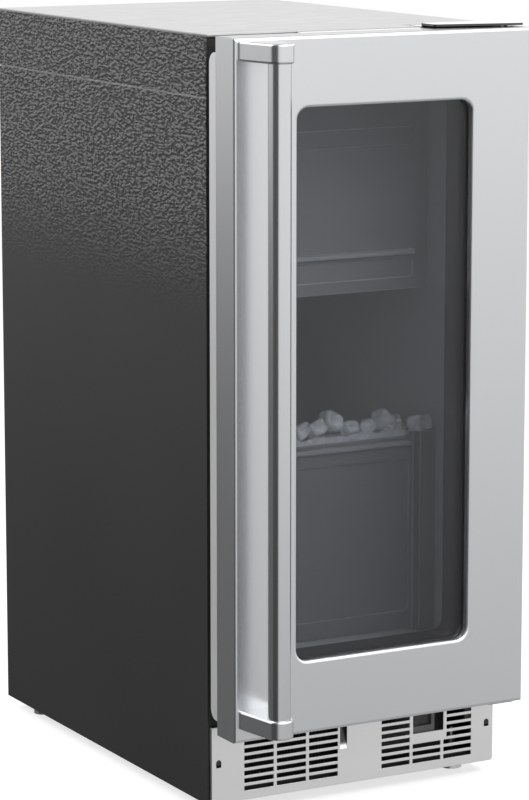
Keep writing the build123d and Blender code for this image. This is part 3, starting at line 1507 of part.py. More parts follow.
# Drain line: from the floor of the bin to the spigot in the rear panel
drain_route = (
    (0, drain_hole_y, cavity_floor - liner_sheet - seat_gap),
    (0, drain_hole_y, bay_top - 25),
    (drain_x, drain_hole_y + 90, drain_z),
    (drain_x, cabinet_rear - drain_length, drain_z),
)
with BuildPart() as drain_line:
    tube(drain_route, drain_line_radius, 14.0)
    front_cylinder(drain_x, drain_z, (cabinet_rear - drain_length, cabinet_rear), drain_radius)
    front_cylinder(
        drain_x, drain_z, (cabinet_rear - drain_length + 2, cabinet_rear + 1), drain_radius - 2, Mode.SUBTRACT
    )
drain_line.part.label = "drain_line"
export_step(drain_line.part, "parts/drain_line.step")

# Gland in the rear panel where the mains cord comes in
cord_radius = 4.5
gland_flange = 12.0
with BuildPart() as cord_gland:
    front_cylinder(gland_x, gland_z, (rear_face + seat_gap, cabinet_rear), gland_flange)
    front_cylinder(gland_x, gland_z, (rear_face - 16, rear_face + 1), gland_radius)
    front_cylinder(gland_x, gland_z, (rear_face - 8, rear_face - rear_sheet - seat_gap), gland_flange)
    front_cylinder(gland_x, gland_z, (rear_face - 17, cabinet_rear + 1), cord_radius, Mode.SUBTRACT)
cord_gland.part.label = "cord_gland"
export_step(cord_gland.part, "parts/cord_gland.step")

# Control box with the switch housing in front of it
box_x = (36.0, 146.0)
box_y = (grille_rear + 40.3, grille_rear + 170.3)
box_z = (base_top + seat_gap, 108.6)
box_sheet = 1.5
with BuildPart() as control_box:
    block(box_x, box_y, box_z)
    block(grown(box_x, -box_sheet), grown(box_y, -box_sheet), grown(box_z, -box_sheet), Mode.SUBTRACT)
control_box.part.label = "control_box"
export_step(control_box.part, "parts/control_box.step")

# Switch: housing behind the window of the grille, and its rocker, tipped to one side
bezel_x = (switch_window[0] - 4.5, switch_window[0] + 30.7)
bezel_z = (switch_window_z[0] - 2.3, switch_window_z[1] + 2.3)
bezel_y = (grille_rear + 1.3, box_y[0] - fit_gap)
rocker_half = 11.6
rocker_height = 14.0
rocker_x = switch_window[0] + 13.7
rocker_z = switch_window_z[1] - 0.8 - rocker_height / 2
rocker_pivot_y = bezel_y[0] + 8.2
rocker_tip = 8.0
rocker_axle = 1.5
axle_length = 2.0
opening_half = 12.7
with BuildPart() as switch_bezel:
    block(bezel_x, bezel_y, bezel_z)
    fillet(switch_bezel.edges().filter_by(Axis.Y), 1.5)
    opening_z = (rocker_z - rocker_height / 2 - fit_gap, rocker_z + rocker_height / 2 + fit_gap)
    block(
        (rocker_x - opening_half, rocker_x + opening_half),
        (bezel_y[0] - 1, bezel_y[0] + 14),
        opening_z,
        Mode.SUBTRACT,
    )
    axle_bore = grown(opening_z, axle_length)
    upright_cylinder(rocker_x, rocker_pivot_y, axle_bore, rocker_axle + running_gap, Mode.SUBTRACT)
switch_bezel.part.label = "switch_bezel"
export_step(switch_bezel.part, "parts/switch_bezel.step")

with BuildPart() as rocker_switch:
    tipped = Plane((rocker_x, rocker_pivot_y, rocker_z - rocker_height / 2), x_dir=(1, 0, 0), z_dir=(0, 0, 1))
    with BuildSketch(tipped.rotated((0, 0, rocker_tip))):
        with BuildLine():
            Polyline(
                (-rocker_half, -6.6),
                (0, -5.0),
                (rocker_half, -6.6),
                (rocker_half, 2.0),
                (-rocker_half, 2.0),
                close=True,
            )
        make_face()
    extrude(amount=rocker_height)
    axle_z = grown((rocker_z - rocker_height / 2, rocker_z + rocker_height / 2), axle_length)
    upright_cylinder(rocker_x, rocker_pivot_y, axle_z, rocker_axle)
rocker_switch.part.label = "rocker_switch"
export_step(rocker_switch.part, "parts/rocker_switch.step")
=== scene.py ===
# %% [markdown]
# # An undercounter ice maker, dressed for its portrait
#
# The real object is a narrow kitchen appliance, 380 mm wide and 880 mm tall: a black steel cabinet, a satin
# steel door with a smoked window, a round bar handle and a louvred kick panel. Its solid shape was measured
# and drawn as CAD, and it comes in here already to scale. This lesson gives every part of it a finish, adds
# what is too fine for CAD, and lights it like a catalogue picture.

# %% Load the measured frame
import math
import random

import bmesh
import bpy
from mathutils import Euler, Matrix, Vector


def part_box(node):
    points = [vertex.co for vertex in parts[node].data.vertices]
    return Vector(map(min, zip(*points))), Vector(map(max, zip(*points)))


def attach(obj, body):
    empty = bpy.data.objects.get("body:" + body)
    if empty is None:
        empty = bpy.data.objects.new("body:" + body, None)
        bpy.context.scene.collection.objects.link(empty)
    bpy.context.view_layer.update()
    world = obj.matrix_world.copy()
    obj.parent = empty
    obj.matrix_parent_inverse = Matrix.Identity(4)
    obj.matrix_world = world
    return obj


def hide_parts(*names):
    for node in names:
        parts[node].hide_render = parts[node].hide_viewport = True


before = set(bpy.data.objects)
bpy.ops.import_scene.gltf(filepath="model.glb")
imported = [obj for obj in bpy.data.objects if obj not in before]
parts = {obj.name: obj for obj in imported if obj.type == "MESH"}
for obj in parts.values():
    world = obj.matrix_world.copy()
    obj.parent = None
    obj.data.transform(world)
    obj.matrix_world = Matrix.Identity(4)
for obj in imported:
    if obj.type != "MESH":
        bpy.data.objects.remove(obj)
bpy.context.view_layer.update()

# %% [markdown]
# ## The camera
#
# A product photographer stands a few metres away with a long lens, so that upright edges stay nearly
# parallel. We could guess the view by eye, but an upright corner, the window and the grille give enough
# straight lines to work the view out. The camera looks along `forward`, and its picture's upper edge points
# along `upward`.

# %% Aim a long lens at the left front corner
camera_place = Vector((-1.87664, -3.38718, 1.12608))
forward = Vector((0.47645, 0.86120, -0.17703)).normalized()
sideways = Vector((0.87502, -0.48409, 0.0)).normalized()
upward = sideways.cross(forward)
lens_length = 149.67

camera_data = bpy.data.cameras.new("portrait_lens")
camera_data.lens = lens_length
camera_data.sensor_width = 36.0
camera = bpy.data.objects.new("portrait_camera", camera_data)
bpy.context.scene.collection.objects.link(camera)
turn = Matrix((sideways, upward, -forward)).transposed().to_4x4()
camera.matrix_world = Matrix.Translation(camera_place) @ turn
bpy.context.scene.camera = camera
bpy.context.scene.view_settings.view_transform = "Standard"
print("camera stands", round(camera_place.length, 2), "m from the middle of the floor")

# %% [markdown]
# ## A short way to write nodes
#
# Materials are small machines made of nodes. Building each one by hand takes many lines, so this helper adds
# a node, changes its settings, and plugs plain values or other nodes' sockets into its inputs. Every finish
# below uses it.

# %% A helper that adds and wires one node


def wire(tree, kind, inputs=None, **settings):
    """Adds one node, changes its settings, and plugs sockets or plain values into its inputs."""
    made = tree.nodes.new("ShaderNode" + kind)
    for key, value in settings.items():
        setattr(made, key, value)
    for key, value in (inputs or {}).items():
        if isinstance(value, bpy.types.NodeSocket):
            tree.links.new(value, made.inputs[key])
        else:
            made.inputs[key].default_value = value
    return made


def sums(tree, operation, first, second=0.0, third=0.0):
    """One Math node: the answer's socket."""
    made = wire(tree, "Math", {0: first, 1: second, 2: third}, operation=operation)
    return made.outputs[0]


def ramp(tree, value, low, high, out_low=0.0, out_high=1.0):
    """A smooth ramp: value from low to high comes out as out_low to out_high."""
    made = wire(
        tree,
        "MapRange",
        {"Value": value, "From Min": low, "From Max": high, "To Min": out_low, "To Max": out_high},
        interpolation_type="SMOOTHSTEP",
    )
    return made.outputs["Result"]


print("node helpers are ready")

# %% [markdown]
# ## The studio
#
# Bare metal has no colour of its own to show: it shows the room. So the look of the door and the bar is set
# by what stands around them. A photographer hangs white cloth all round, stands a black card beside the
# object for a dark line along each round edge, and lets the room fall darker towards the floor. The world
# below does that by direction: `turned` is the angle round the object from its front towards its left,
# `raised` the angle above level. The room is darker on the left below eye level than in front, and the
# ceiling is a little brighter than the walls. What the camera sees directly stays plain white.

# %% Hang the white cloth and stand the dark card
world = bpy.data.worlds.new("studio")
world.use_nodes = True
bpy.context.scene.world = world
tree = world.node_tree
tree.nodes.clear()

direction = wire(tree, "TexCoord").outputs["Generated"]
split = wire(tree, "SeparateXYZ", {0: direction})
backwards_x = sums(tree, "MULTIPLY", split.outputs["X"], -1.0)
backwards_y = sums(tree, "MULTIPLY", split.outputs["Y"], -1.0)
turned = sums(tree, "ARCTAN2", backwards_x, backwards_y)
raised = sums(tree, "ARCSINE", split.outputs["Z"])

degree = math.radians(1.0)
card_middle, card_half, card_soft = 69 * degree, 23 * degree, 13 * degree
card_black = 0.11
ceiling_gain = 1.6
off_card = sums(tree, "ABSOLUTE", sums(tree, "SUBTRACT", turned, card_middle))
beside_card = ramp(tree, off_card, card_half, card_half + card_soft, card_black, 1.0)

open_floor = ramp(tree, raised, -20 * degree, -2 * degree, 0.5, 1.06)
left_floor = ramp(tree, raised, -8.5 * degree, -3 * degree, 0.13, 0.95)
on_left = ramp(tree, turned, 88 * degree, 104 * degree)
left_share = sums(tree, "MULTIPLY", left_floor, on_left)
open_share = sums(tree, "MULTIPLY", open_floor, sums(tree, "SUBTRACT", 1.0, on_left))
overhead = ramp(tree, raised, 1 * degree, 9 * degree, 1.0, ceiling_gain)
cloth = sums(tree, "MULTIPLY", sums(tree, "ADD", left_share, open_share), beside_card)
room = sums(tree, "MULTIPLY", cloth, overhead)

path = wire(tree, "LightPath")
soft_light = 0.5
mirrored = sums(tree, "MULTIPLY", path.outputs["Is Glossy Ray"], room)
seen = path.outputs["Is Camera Ray"]
direct = sums(tree, "MAXIMUM", seen, path.outputs["Is Glossy Ray"])
ambient = sums(tree, "MULTIPLY", sums(tree, "SUBTRACT", 1.0, direct), soft_light)
strength = sums(tree, "ADD", sums(tree, "MAXIMUM", mirrored, seen), ambient)
background = wire(tree, "Background", {"Color": (1.0, 1.0, 1.0, 1.0), "Strength": strength})
wire(tree, "OutputWorld", {"Surface": background.outputs[0]})
print("the room gives", soft_light, "of full white as soft light")

# %% [markdown]
# ## Lamps
#
# Two large soft panels do the shaping. The key panel hangs in front and above, and gives the ice and the
# plastic their lighter sides. The weaker one on the left skims the pebbled cabinet side, so that its grain
# reads. Large lamps make soft shadows, as a cloudy sky does. A third lamp is small, so that it leaves small
# bright sparks on round edges.

# %% Hang two soft lamps and a spark


def soft_lamp(name, place, target, size, power):
    """A square lamp that points from place to target."""
    data = bpy.data.lights.new(name, "AREA")
    data.shape = "SQUARE"
    data.size = size
    data.energy = power
    lamp = bpy.data.objects.new(name, data)
    lamp.location = place
    lamp.rotation_euler = (Vector(target) - Vector(place)).to_track_quat("-Z", "Y").to_euler()
    bpy.context.scene.collection.objects.link(lamp)
    return lamp


middle = (0.0, 0.0, 0.45)
key_lamp = soft_lamp("key_lamp", (0.6, -2.2, 2.4), middle, 1.6, 38.0)
side_lamp = soft_lamp("side_lamp", (-2.0, 0.8, 2.2), middle, 1.2, 26.0)
spark_lamp = soft_lamp("spark_lamp", (-0.4, -2.4, 2.0), middle, 0.35, 5.0)
print("lamps:", key_lamp.name, side_lamp.name, spark_lamp.name)

# %% [markdown]
# ## The floor
#
# The photograph stands on pure white paper. Pouring on light until the floor burns out would burn out the
# steel too. So part of the floor's whiteness is its own, for the camera's rays only, and the rest is ordinary
# white paper, which keeps the soft shadow under the cabinet. Mirror rays pass it by, because the world above
# already holds the colour that the room has below eye level. Rays that go through glass pass it by too, or
# else the window would mirror the far edge of the paper as a line.

# %% Lay the white paper
floor_reach = 6.0
floor_paper = 0.62
floor_glow = 0.72
floor_mesh = bpy.data.meshes.new("paper_floor")
shaper = bmesh.new()
bmesh.ops.create_grid(shaper, x_segments=12, y_segments=12, size=floor_reach)
shaper.to_mesh(floor_mesh)
shaper.free()
floor = bpy.data.objects.new("paper_floor", floor_mesh)
bpy.context.scene.collection.objects.link(floor)
floor.visible_glossy = False
floor.visible_transmission = False

paper = bpy.data.materials.new("white_paper")
paper.use_nodes = True
tree = paper.node_tree
tree.nodes.clear()
matt = wire(tree, "BsdfDiffuse", {"Color": (floor_paper, floor_paper, floor_paper, 1.0)})
own_white = sums(tree, "MULTIPLY", wire(tree, "LightPath").outputs["Is Camera Ray"], floor_glow)
glow = wire(tree, "Emission", {"Color": (1.0, 1.0, 1.0, 1.0), "Strength": own_white})
both = wire(tree, "AddShader", {0: matt.outputs[0], 1: glow.outputs[0]})
wire(tree, "OutputMaterial", {"Surface": both.outputs[0]})
floor_mesh.materials.append(paper)
print("floor", 2 * floor_reach, "m across")

# %% [markdown]
# ## A recipe for finishes
#
# Nothing real is one flat colour. Every finish here is the same four layers with other numbers. Clouds, a
# large soft noise, drift between two close shades. Grain, a fine noise that can be stretched into brush
# lines, changes the roughness a little from spot to spot. The same grain, read as a height, gives a relief
# that catches light. Last, the Bevel node finds the edges: there the surface turns rounder and lighter,
# partly wear from hands and partly a painted highlight along the rims.

# %% The recipe


def finish(name, shades, rough, metal=0.0, cloud=5.0, grain=700.0, stretch=(1.0, 1.0, 1.0), relief=0.00002,
           edge=0.0006, edge_wear_and_sheen=1.25, detail=3.0, **shader_values):
    """Two-shade clouds, grain in roughness and relief, and softened edges lightened by wear and a painted
    highlight.
    """
    made = bpy.data.materials.new(name)
    made.use_nodes = True
    tree = made.node_tree
    tree.nodes.clear()
    spot = wire(tree, "TexCoord").outputs["Object"]
    clouds = wire(tree, "TexNoise", {"Vector": spot, "Scale": cloud, "Detail": 2.0}).outputs["Fac"]
    drawn_out = wire(tree, "Mapping", {"Vector": spot, "Scale": stretch}).outputs["Vector"]
    grains = wire(tree, "TexNoise", {"Vector": drawn_out, "Scale": grain, "Detail": detail}).outputs["Fac"]

    tint = wire(tree, "ValToRGB", {"Fac": clouds})
    tint.color_ramp.elements[0].position = 0.3
    tint.color_ramp.elements[1].position = 0.7
    tint.color_ramp.elements[0].color = (*shades[0], 1.0)
    tint.color_ramp.elements[1].color = (*shades[1], 1.0)
    patchy = wire(tree, "MapRange", {"Value": grains, "From Min": 0.3, "From Max": 0.7,
                                     "To Min": rough[0], "To Max": rough[1]}).outputs["Result"]

    rounded = wire(tree, "Bevel", {"Radius": edge}, samples=4).outputs["Normal"]
    true_normal = wire(tree, "NewGeometry").outputs["Normal"]
    agree = wire(tree, "VectorMath", {0: rounded, 1: true_normal}, operation="DOT_PRODUCT").outputs["Value"]
    at_edge = ramp(tree, agree, 0.995, 0.9)
    # lighter edges: partly wear, partly a painted highlight along the rims
    worn_and_sheened_edges = sums(tree, "MULTIPLY", at_edge, ramp(tree, clouds, 0.35, 0.65, 0.35, 1.0))
    worn_and_sheened = wire(tree, "Mix", {0: worn_and_sheened_edges, 6: tint.outputs["Color"],
                              7: tuple(min(1.0, c * edge_wear_and_sheen) for c in shades[1]) + (1.0,)}, data_type="RGBA")
    lumps = wire(tree, "Bump", {"Height": grains, "Distance": relief, "Strength": 1.0, "Normal": rounded})
    shader = wire(tree, "BsdfPrincipled", {"Base Color": worn_and_sheened.outputs[2], "Roughness": patchy,
                                           "Normal": lumps.outputs["Normal"], "Metallic": metal})
    for key, value in shader_values.items():
        shader.inputs[key.replace("_", " ").title().replace("Ior", "IOR")].default_value = value
    wire(tree, "OutputMaterial", {"Surface": shader.outputs[0]})
    return made


def dress(finish_made, *names):
    """Puts one finish on CAD parts, in every slot that their meshes have."""
    for name in names:
        slots = parts[name].data.materials
        if not slots:
            slots.append(finish_made)
        for number in range(len(slots)):
            slots[number] = finish_made
    dressed.update(names)


dressed = set()
print("the recipe is ready")

# %% [markdown]
# ## Brushed steel
#
# The door, the grille and the bar are stainless steel. A mill drags an abrasive belt along the sheet and
# leaves thousands of parallel scratches, finer than a hair. So its grain is noise squeezed across the
# brushing and drawn out along it. The door is brushed level, which smears reflections up and down; the bar is
# brushed along its length and polished further, so it mirrors the dark card as a line.
#
# The camera sees the level tops of the door and the brackets almost edge-on, and at such an angle even a dull
# metal mirrors most of the light. `shade_box` takes a part of a finish, between two ends along an axis, to a
# shade of its own. It paints shade on those tops, darker than the fronts, and paints a shadow into the upper
# end of the finger pocket in the grille.

# %% Shade one part of a finish
span_fade = 0.0005


def shade_box(made, shade, spans):
    """Gives one box of a finish its own colour, here painted shade or painted highlight; spans are axis,
    start, full, end.
    """
    tree = made.node_tree
    shader = next(n for n in tree.nodes if n.type == "BSDF_PRINCIPLED")
    colour = shader.inputs["Base Color"].links[0].from_socket
    spot = wire(tree, "SeparateXYZ", {0: wire(tree, "TexCoord").outputs["Object"]})
    inside = 1.0
    for axis, start, full, end in spans:
        over = ramp(tree, spot.outputs[axis], start, full)
        under = ramp(tree, spot.outputs[axis], end, end + span_fade, 1.0, 0.0)
        inside = sums(tree, "MULTIPLY", inside, sums(tree, "MULTIPLY", over, under))
    shaded = wire(tree, "Mix", {0: inside, 6: colour, 7: (*shade, 1.0)}, data_type="RGBA").outputs[2]
    tree.links.new(shaded, shader.inputs["Base Color"])
    return made


print("one part of a finish can have its own shade")

# %% Door, grille and handle
door_satin = finish(
    "door_satin_steel", ((0.66, 0.67, 0.685), (0.67, 0.68, 0.695)), (0.24, 0.27), metal=1.0, cloud=3.0,
    grain=700.0, stretch=(0.02, 1.0, 3.0), relief=0.0000003, edge_wear_and_sheen=1.1, edge=0.0012,
)
grille_satin = finish(
    "grille_satin_steel", ((0.77, 0.77, 0.775), (0.8, 0.8, 0.805)), (0.3, 0.36), metal=1.0, cloud=4.0,
    grain=700.0, stretch=(0.02, 1.0, 3.0), relief=0.0000004, edge_wear_and_sheen=1.15, edge=0.0007,
)
bar_polish = finish("bar_brushed_steel", ((0.66, 0.67, 0.685), (0.675, 0.685, 0.7)), (0.17, 0.2), metal=1.0,
                    cloud=3.0, grain=700.0, stretch=(3.0, 3.0, 0.02), relief=0.0000003, edge_wear_and_sheen=1.05)
bracket_satin = finish(
    "bracket_satin_steel", ((0.66, 0.67, 0.68), (0.67, 0.68, 0.69)), (0.22, 0.25), metal=1.0, cloud=12.0,
    grain=900.0, relief=0.0000003, edge_wear_and_sheen=1.15, edge=0.0009,
)
grille_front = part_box("grille_panel")[0][1]
pocket_shadow = (0.05, 0.05, 0.052)
pocket_across = ("X", -0.0207, -0.0205, -0.011)
pocket_upward = ("Z", 0.056, 0.067, 0.11)
pocket_inward = ("Y", grille_front + 0.0008, grille_front + 0.0016, 0.0)
shade_box(grille_satin, pocket_shadow, (pocket_across, pocket_upward, pocket_inward))

# painted shade: the level tops of the door and the brackets get a darker colour than their fronts
painted_top_shade = (0.14, 0.145, 0.15)
door_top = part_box("door_skin")[1][2]
shade_box(bracket_satin, painted_top_shade, (("Z", 0.8748, 0.8754, 0.9),))
shade_box(door_satin, painted_top_shade, (("Z", door_top - 0.0006, door_top - 0.0002, door_top + 0.01),))
dress(door_satin, "door_skin")
dress(grille_satin, "grille_panel")
dress(bar_polish, "handle_bar")
dress(bracket_satin, "handle_brackets")
print("steel on", sorted(dressed))

# %% [markdown]
# ## Pebbled black sheet
#
# The cabinet is steel sheet with a black skin that is rolled to a leather-like pebble. The pebbles are about
# two millimetres across, and longer along the roll. A noise texture that is stretched and pushed out of shape
# looks so. The pebbles show boldly near the top and hardly at all lower down, so the relief fades with
# height, and the domes of the pebbles get a painted highlight that fades with it.

# %% The cabinet's skin


def pebbled_sheet(name, shades, rough, pebble=310.0, fade=(0.56, 0.74), least=0.02):
    """Pebbled black sheet whose relief and painted pebble highlight fade towards the floor, with a painted
    seam highlight.
    """
    made = finish(name, shades, rough, cloud=4.0, grain=900.0, relief=0.000004, edge_wear_and_sheen=2.2, edge=0.0005)
    tree = made.node_tree
    shader = next(n for n in tree.nodes if n.type == "BSDF_PRINCIPLED")
    first_bump = shader.inputs["Normal"].links[0].from_socket
    spot = wire(tree, "TexCoord").outputs["Object"]
    height = wire(tree, "SeparateXYZ", {0: spot}).outputs["Z"]
    share = ramp(tree, height, fade[0], fade[1], least, 1.0)
    wander = wire(tree, "TexNoise", {"Vector": spot, "Scale": pebble * 0.6, "Detail": 2.0}).outputs["Color"]
    moved = wire(tree, "Mix", {0: 0.0035, 4: spot, 5: wander}, data_type="VECTOR").outputs[1]
    rolled = wire(tree, "VectorMath", {0: moved, 1: (1.0, 0.42, 1.0)}, operation="MULTIPLY").outputs["Vector"]
    lumps = wire(tree, "TexNoise", {"Vector": rolled, "Scale": pebble, "Detail": 1.0, "Roughness": 0.4})
    domes = ramp(tree, lumps.outputs["Fac"], 0.35, 0.68)
    bump = wire(tree, "Bump", {"Height": domes, "Distance": 0.0008, "Strength": share, "Normal": first_bump})
    tree.links.new(bump.outputs["Normal"], shader.inputs["Normal"])
    base = shader.inputs["Base Color"].links[0].from_socket
    # painted highlight on the pebble domes, strongest near the top
    shine = sums(tree, "MULTIPLY", ramp(tree, lumps.outputs["Fac"], 0.45, 0.62), share)
    lit_tops = wire(tree, "Mix", {0: shine, 6: base, 7: (*painted_pebble_sheen, 1.0)}, data_type="RGBA").outputs[2]
    # painted highlight: a pale line along the seam, where the lower panel's top edge catches light
    seam_gap = sums(tree, "ABSOLUTE", sums(tree, "SUBTRACT", height, seam_height))
    seam_highlight_mask = ramp(tree, seam_gap, 0.0012, 0.0005)
    with_seam_highlight = wire(
        tree, "Mix", {0: seam_highlight_mask, 6: lit_tops, 7: (0.3, 0.3, 0.3, 1.0)}, data_type="RGBA"
    ).outputs[2]
    tree.links.new(with_seam_highlight, shader.inputs["Base Color"])
    return made


seam_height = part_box("top_band")[0][2]
painted_pebble_sheen = (0.115, 0.115, 0.115)
black_sheet = pebbled_sheet(
    "pebbled_black_sheet", ((0.017, 0.017, 0.018), (0.021, 0.021, 0.022)), (0.34, 0.42)
)
dress(black_sheet, "side_panel_left", "side_panel_right", "top_band")
print("pebbled sheet on the cabinet")

# %% [markdown]
# ## Sheet metal that nobody looks at
#
# The back and the fan's shroud are plain zinc-coated sheet. Hot zinc cools into flat crystals, called
# spangle, each of which mirrors the light at its own angle. Voronoi cells do the same: each cell gets a
# slightly different grey. The top is a paler sheet, and the base, the inner frame and the works behind the
# grille are painted black; behind the grille that black also stands in for the shade inside its slots.

# %% Zinc sheet and painted sheet


def spangle(made, cell=90.0, contrast=0.12):
    """Breaks a metal's colour into flat crystals."""
    tree = made.node_tree
    shader = next(n for n in tree.nodes if n.type == "BSDF_PRINCIPLED")
    colour = shader.inputs["Base Color"].links[0].from_socket
    spot = wire(tree, "TexCoord").outputs["Object"]
    crystals = wire(tree, "TexVoronoi", {"Vector": spot, "Scale": cell}).outputs["Color"]
    grey = wire(tree, "RGBToBW", {0: crystals}).outputs[0]
    level = ramp(tree, grey, 0.2, 0.8, 1.0 - contrast, 1.0)
    shaded = wire(tree, "VectorMath", {0: colour, "Scale": level}, operation="SCALE").outputs[0]
    tree.links.new(shaded, shader.inputs["Base Color"])
    return made


zinc = spangle(finish("zinc_sheet", ((0.52, 0.53, 0.54), (0.6, 0.61, 0.62)), (0.34, 0.5), metal=1.0,
                      cloud=8.0, grain=500.0, relief=0.000003, edge_wear_and_sheen=1.15))
top_sheet = finish("pale_top_sheet", ((0.27, 0.27, 0.27), (0.28, 0.28, 0.28)), (0.3, 0.42), metal=1.0,
                   cloud=4.0, grain=500.0, stretch=(0.05, 1.0, 1.0), relief=0.000002, edge_wear_and_sheen=1.1)
black_paint_and_slot_shade = finish("black_painted_steel_and_slot_shade", ((0.014, 0.014, 0.015), (0.02, 0.02, 0.021)), (0.3, 0.45),
                     cloud=20.0, grain=900.0, relief=0.000006, edge_wear_and_sheen=3.0, edge=0.0004)
hinge_gloss = finish(
    "glossy_black_hinge", ((0.01, 0.01, 0.011), (0.014, 0.014, 0.015)), (0.06, 0.1), cloud=20.0, grain=900.0,
    relief=0.0000005, edge_wear_and_sheen=2.0, edge=0.0004, coat_weight=1.0, coat_roughness=0.05,
)
dress(zinc, "rear_panel", "fan_shroud", "evaporator_brackets")
dress(top_sheet, "top_panel", "hinge_blank")
dress(hinge_gloss, "top_hinge_plate")
# black on the condenser, base pan, control box and panel screws also stands in for shade behind the grille's
# slots
dress(black_paint_and_slot_shade, "compressor", "front_frame", "base_pan", "control_box", "condenser_fins", "condenser_tube",
      "panel_screws", "bottom_hinge_plate", "hinge_screws")
print("sheet metal finished")

# %% [markdown]
# ## Smoked glass
#
# The window is two panes with a sealed gap. Grey glass lets about half of the light through, twice, so the
# inside looks dusky. Glass that bends light also stops lamps from lighting what is behind it, unless the
# renderer works hard on caustics. The usual way out is to let shadow rays pass straight through a clear
# stand-in of the same tint. The glass bends light less than real glass does, which makes its reflection as
# weak as a coated window's.

# %% The window
coated_glass = 1.34


def smoked_glass(name, tint, through, rough=0.01):
    """Grey glass whose shadow rays pass through."""
    made = bpy.data.materials.new(name)
    made.use_nodes = True
    tree = made.node_tree
    tree.nodes.clear()
    spot = wire(tree, "TexCoord").outputs["Object"]
    smears = wire(tree, "TexNoise", {"Vector": spot, "Scale": 9.0, "Detail": 4.0}).outputs["Fac"]
    haze = ramp(tree, smears, 0.35, 0.75, rough, rough * 3)
    waves = wire(tree, "TexNoise", {"Vector": spot, "Scale": 6.0, "Detail": 1.0}).outputs["Fac"]
    wavy = wire(tree, "Bump", {"Height": waves, "Distance": 0.00003, "Strength": 1.0})
    glass = wire(tree, "BsdfPrincipled", {"Base Color": (*tint, 1.0), "Roughness": haze, "IOR": coated_glass,
                                          "Transmission Weight": 1.0, "Specular IOR Level": 0.4,
                                          "Normal": wavy.outputs["Normal"]})
    clear = wire(tree, "BsdfTransparent", {"Color": (*through, 1.0)})
    shadow_ray = wire(tree, "LightPath").outputs["Is Shadow Ray"]
    both = wire(tree, "MixShader", {0: shadow_ray, 1: glass.outputs[0], 2: clear.outputs[0]})
    wire(tree, "OutputMaterial", {"Surface": both.outputs[0]})
    return made


dress(smoked_glass("smoked_outer_glass", (0.67, 0.68, 0.7), (0.62, 0.62, 0.63)), "outer_glass")
dress(smoked_glass("clear_inner_glass", (0.86, 0.87, 0.88), (0.75, 0.75, 0.75)), "inner_glass")
print("two panes glazed")

# %% [markdown]
# ## Plastic, rubber and foam
#
# Moulded plastic has a very fine matt texture from the mould, and shines a little where it has been handled.
# Rubber is darker, rougher and slightly dusty. Foam is a froth of tiny cells, and is only seen at holes and
# cut corners.

# %% Pale and dark mouldings
liner = finish(
    "liner_plastic", ((0.6, 0.61, 0.625), (0.64, 0.65, 0.665)), (0.3, 0.42), cloud=6.0, grain=1500.0,
    relief=0.000006, edge_wear_and_sheen=1.2,
)
cover = finish(
    "cover_plastic", ((0.27, 0.275, 0.285), (0.3, 0.305, 0.315)), (0.3, 0.4), cloud=6.0, grain=1500.0,
    relief=0.000006, edge_wear_and_sheen=3.0, edge=0.0014,
)
dam = finish(
    "dam_plastic", ((0.21, 0.215, 0.225), (0.23, 0.235, 0.245)), (0.3, 0.42), cloud=6.0, grain=1500.0,
    relief=0.000006, edge_wear_and_sheen=3.4, edge=0.0014,
)
inner_frame = finish("inner_frame_plastic", ((0.74, 0.75, 0.74), (0.78, 0.79, 0.78)), (0.28, 0.36), metal=0.5,
                     cloud=9.0, grain=1200.0, relief=0.000002, edge_wear_and_sheen=1.05)
black_plastic = finish(
    "black_plastic", ((0.018, 0.018, 0.019), (0.028, 0.028, 0.03)), (0.35, 0.5), cloud=20.0, grain=1400.0,
    relief=0.000008, edge_wear_and_sheen=2.0,
)
grey_plastic = finish(
    "grey_bezel_plastic", ((0.13, 0.13, 0.135), (0.16, 0.16, 0.165)), (0.35, 0.5), cloud=20.0, grain=1400.0,
    relief=0.000008, edge_wear_and_sheen=1.5,
)
white_plastic = finish("white_plastic", ((0.7, 0.7, 0.69), (0.76, 0.76, 0.75)), (0.35, 0.5), cloud=20.0,
                       grain=1400.0, relief=0.000008, edge_wear_and_sheen=1.1)
rubber = finish(
    "black_rubber", ((0.02, 0.02, 0.02), (0.04, 0.04, 0.041)), (0.6, 0.8), cloud=25.0, grain=900.0,
    relief=0.00002, edge_wear_and_sheen=1.4,
)
foam = finish("cream_foam", ((0.62, 0.55, 0.36), (0.72, 0.65, 0.45)), (0.8, 0.95), cloud=30.0, grain=600.0,
              relief=0.0002, edge_wear_and_sheen=1.0)
hose = finish("milky_hose", ((0.62, 0.63, 0.62), (0.7, 0.71, 0.7)), (0.3, 0.45), cloud=30.0, grain=900.0,
              relief=0.00001, edge_wear_and_sheen=1.05)
print("the parts behind the window are moulded, and so is the trim")

# %% [markdown]
# Three places get another colour than the moulding around them. The ledge of the cover and the lip of the dam
# stand out towards us and carry a painted highlight, and the inner frame is dark where it lines the window.

# %% Painted highlights on the ledges, and a dark window lining
# painted highlights: the cover's ledge and the dam's lip get a paler colour where they face the light
for made, node, depth, shade in ((cover, "ice_maker_cover", 0.0045, (0.5, 0.51, 0.53)),
                                 (dam, "ice_dam", 0.0035, (0.42, 0.43, 0.45))):
    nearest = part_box(node)[0][1]
    shade_box(made, shade, (("Y", nearest - 0.002, nearest - 0.001, nearest + depth),))
glass_low, glass_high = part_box("outer_glass")
lap = 0.007
across_glass = ("X", glass_low[0] + lap - span_fade, glass_low[0] + lap, glass_high[0] - lap)
up_glass = ("Z", glass_low[2] + lap - span_fade, glass_low[2] + lap, glass_high[2] - lap)
shade_box(inner_frame, (0.03, 0.03, 0.032), (across_glass, up_glass))

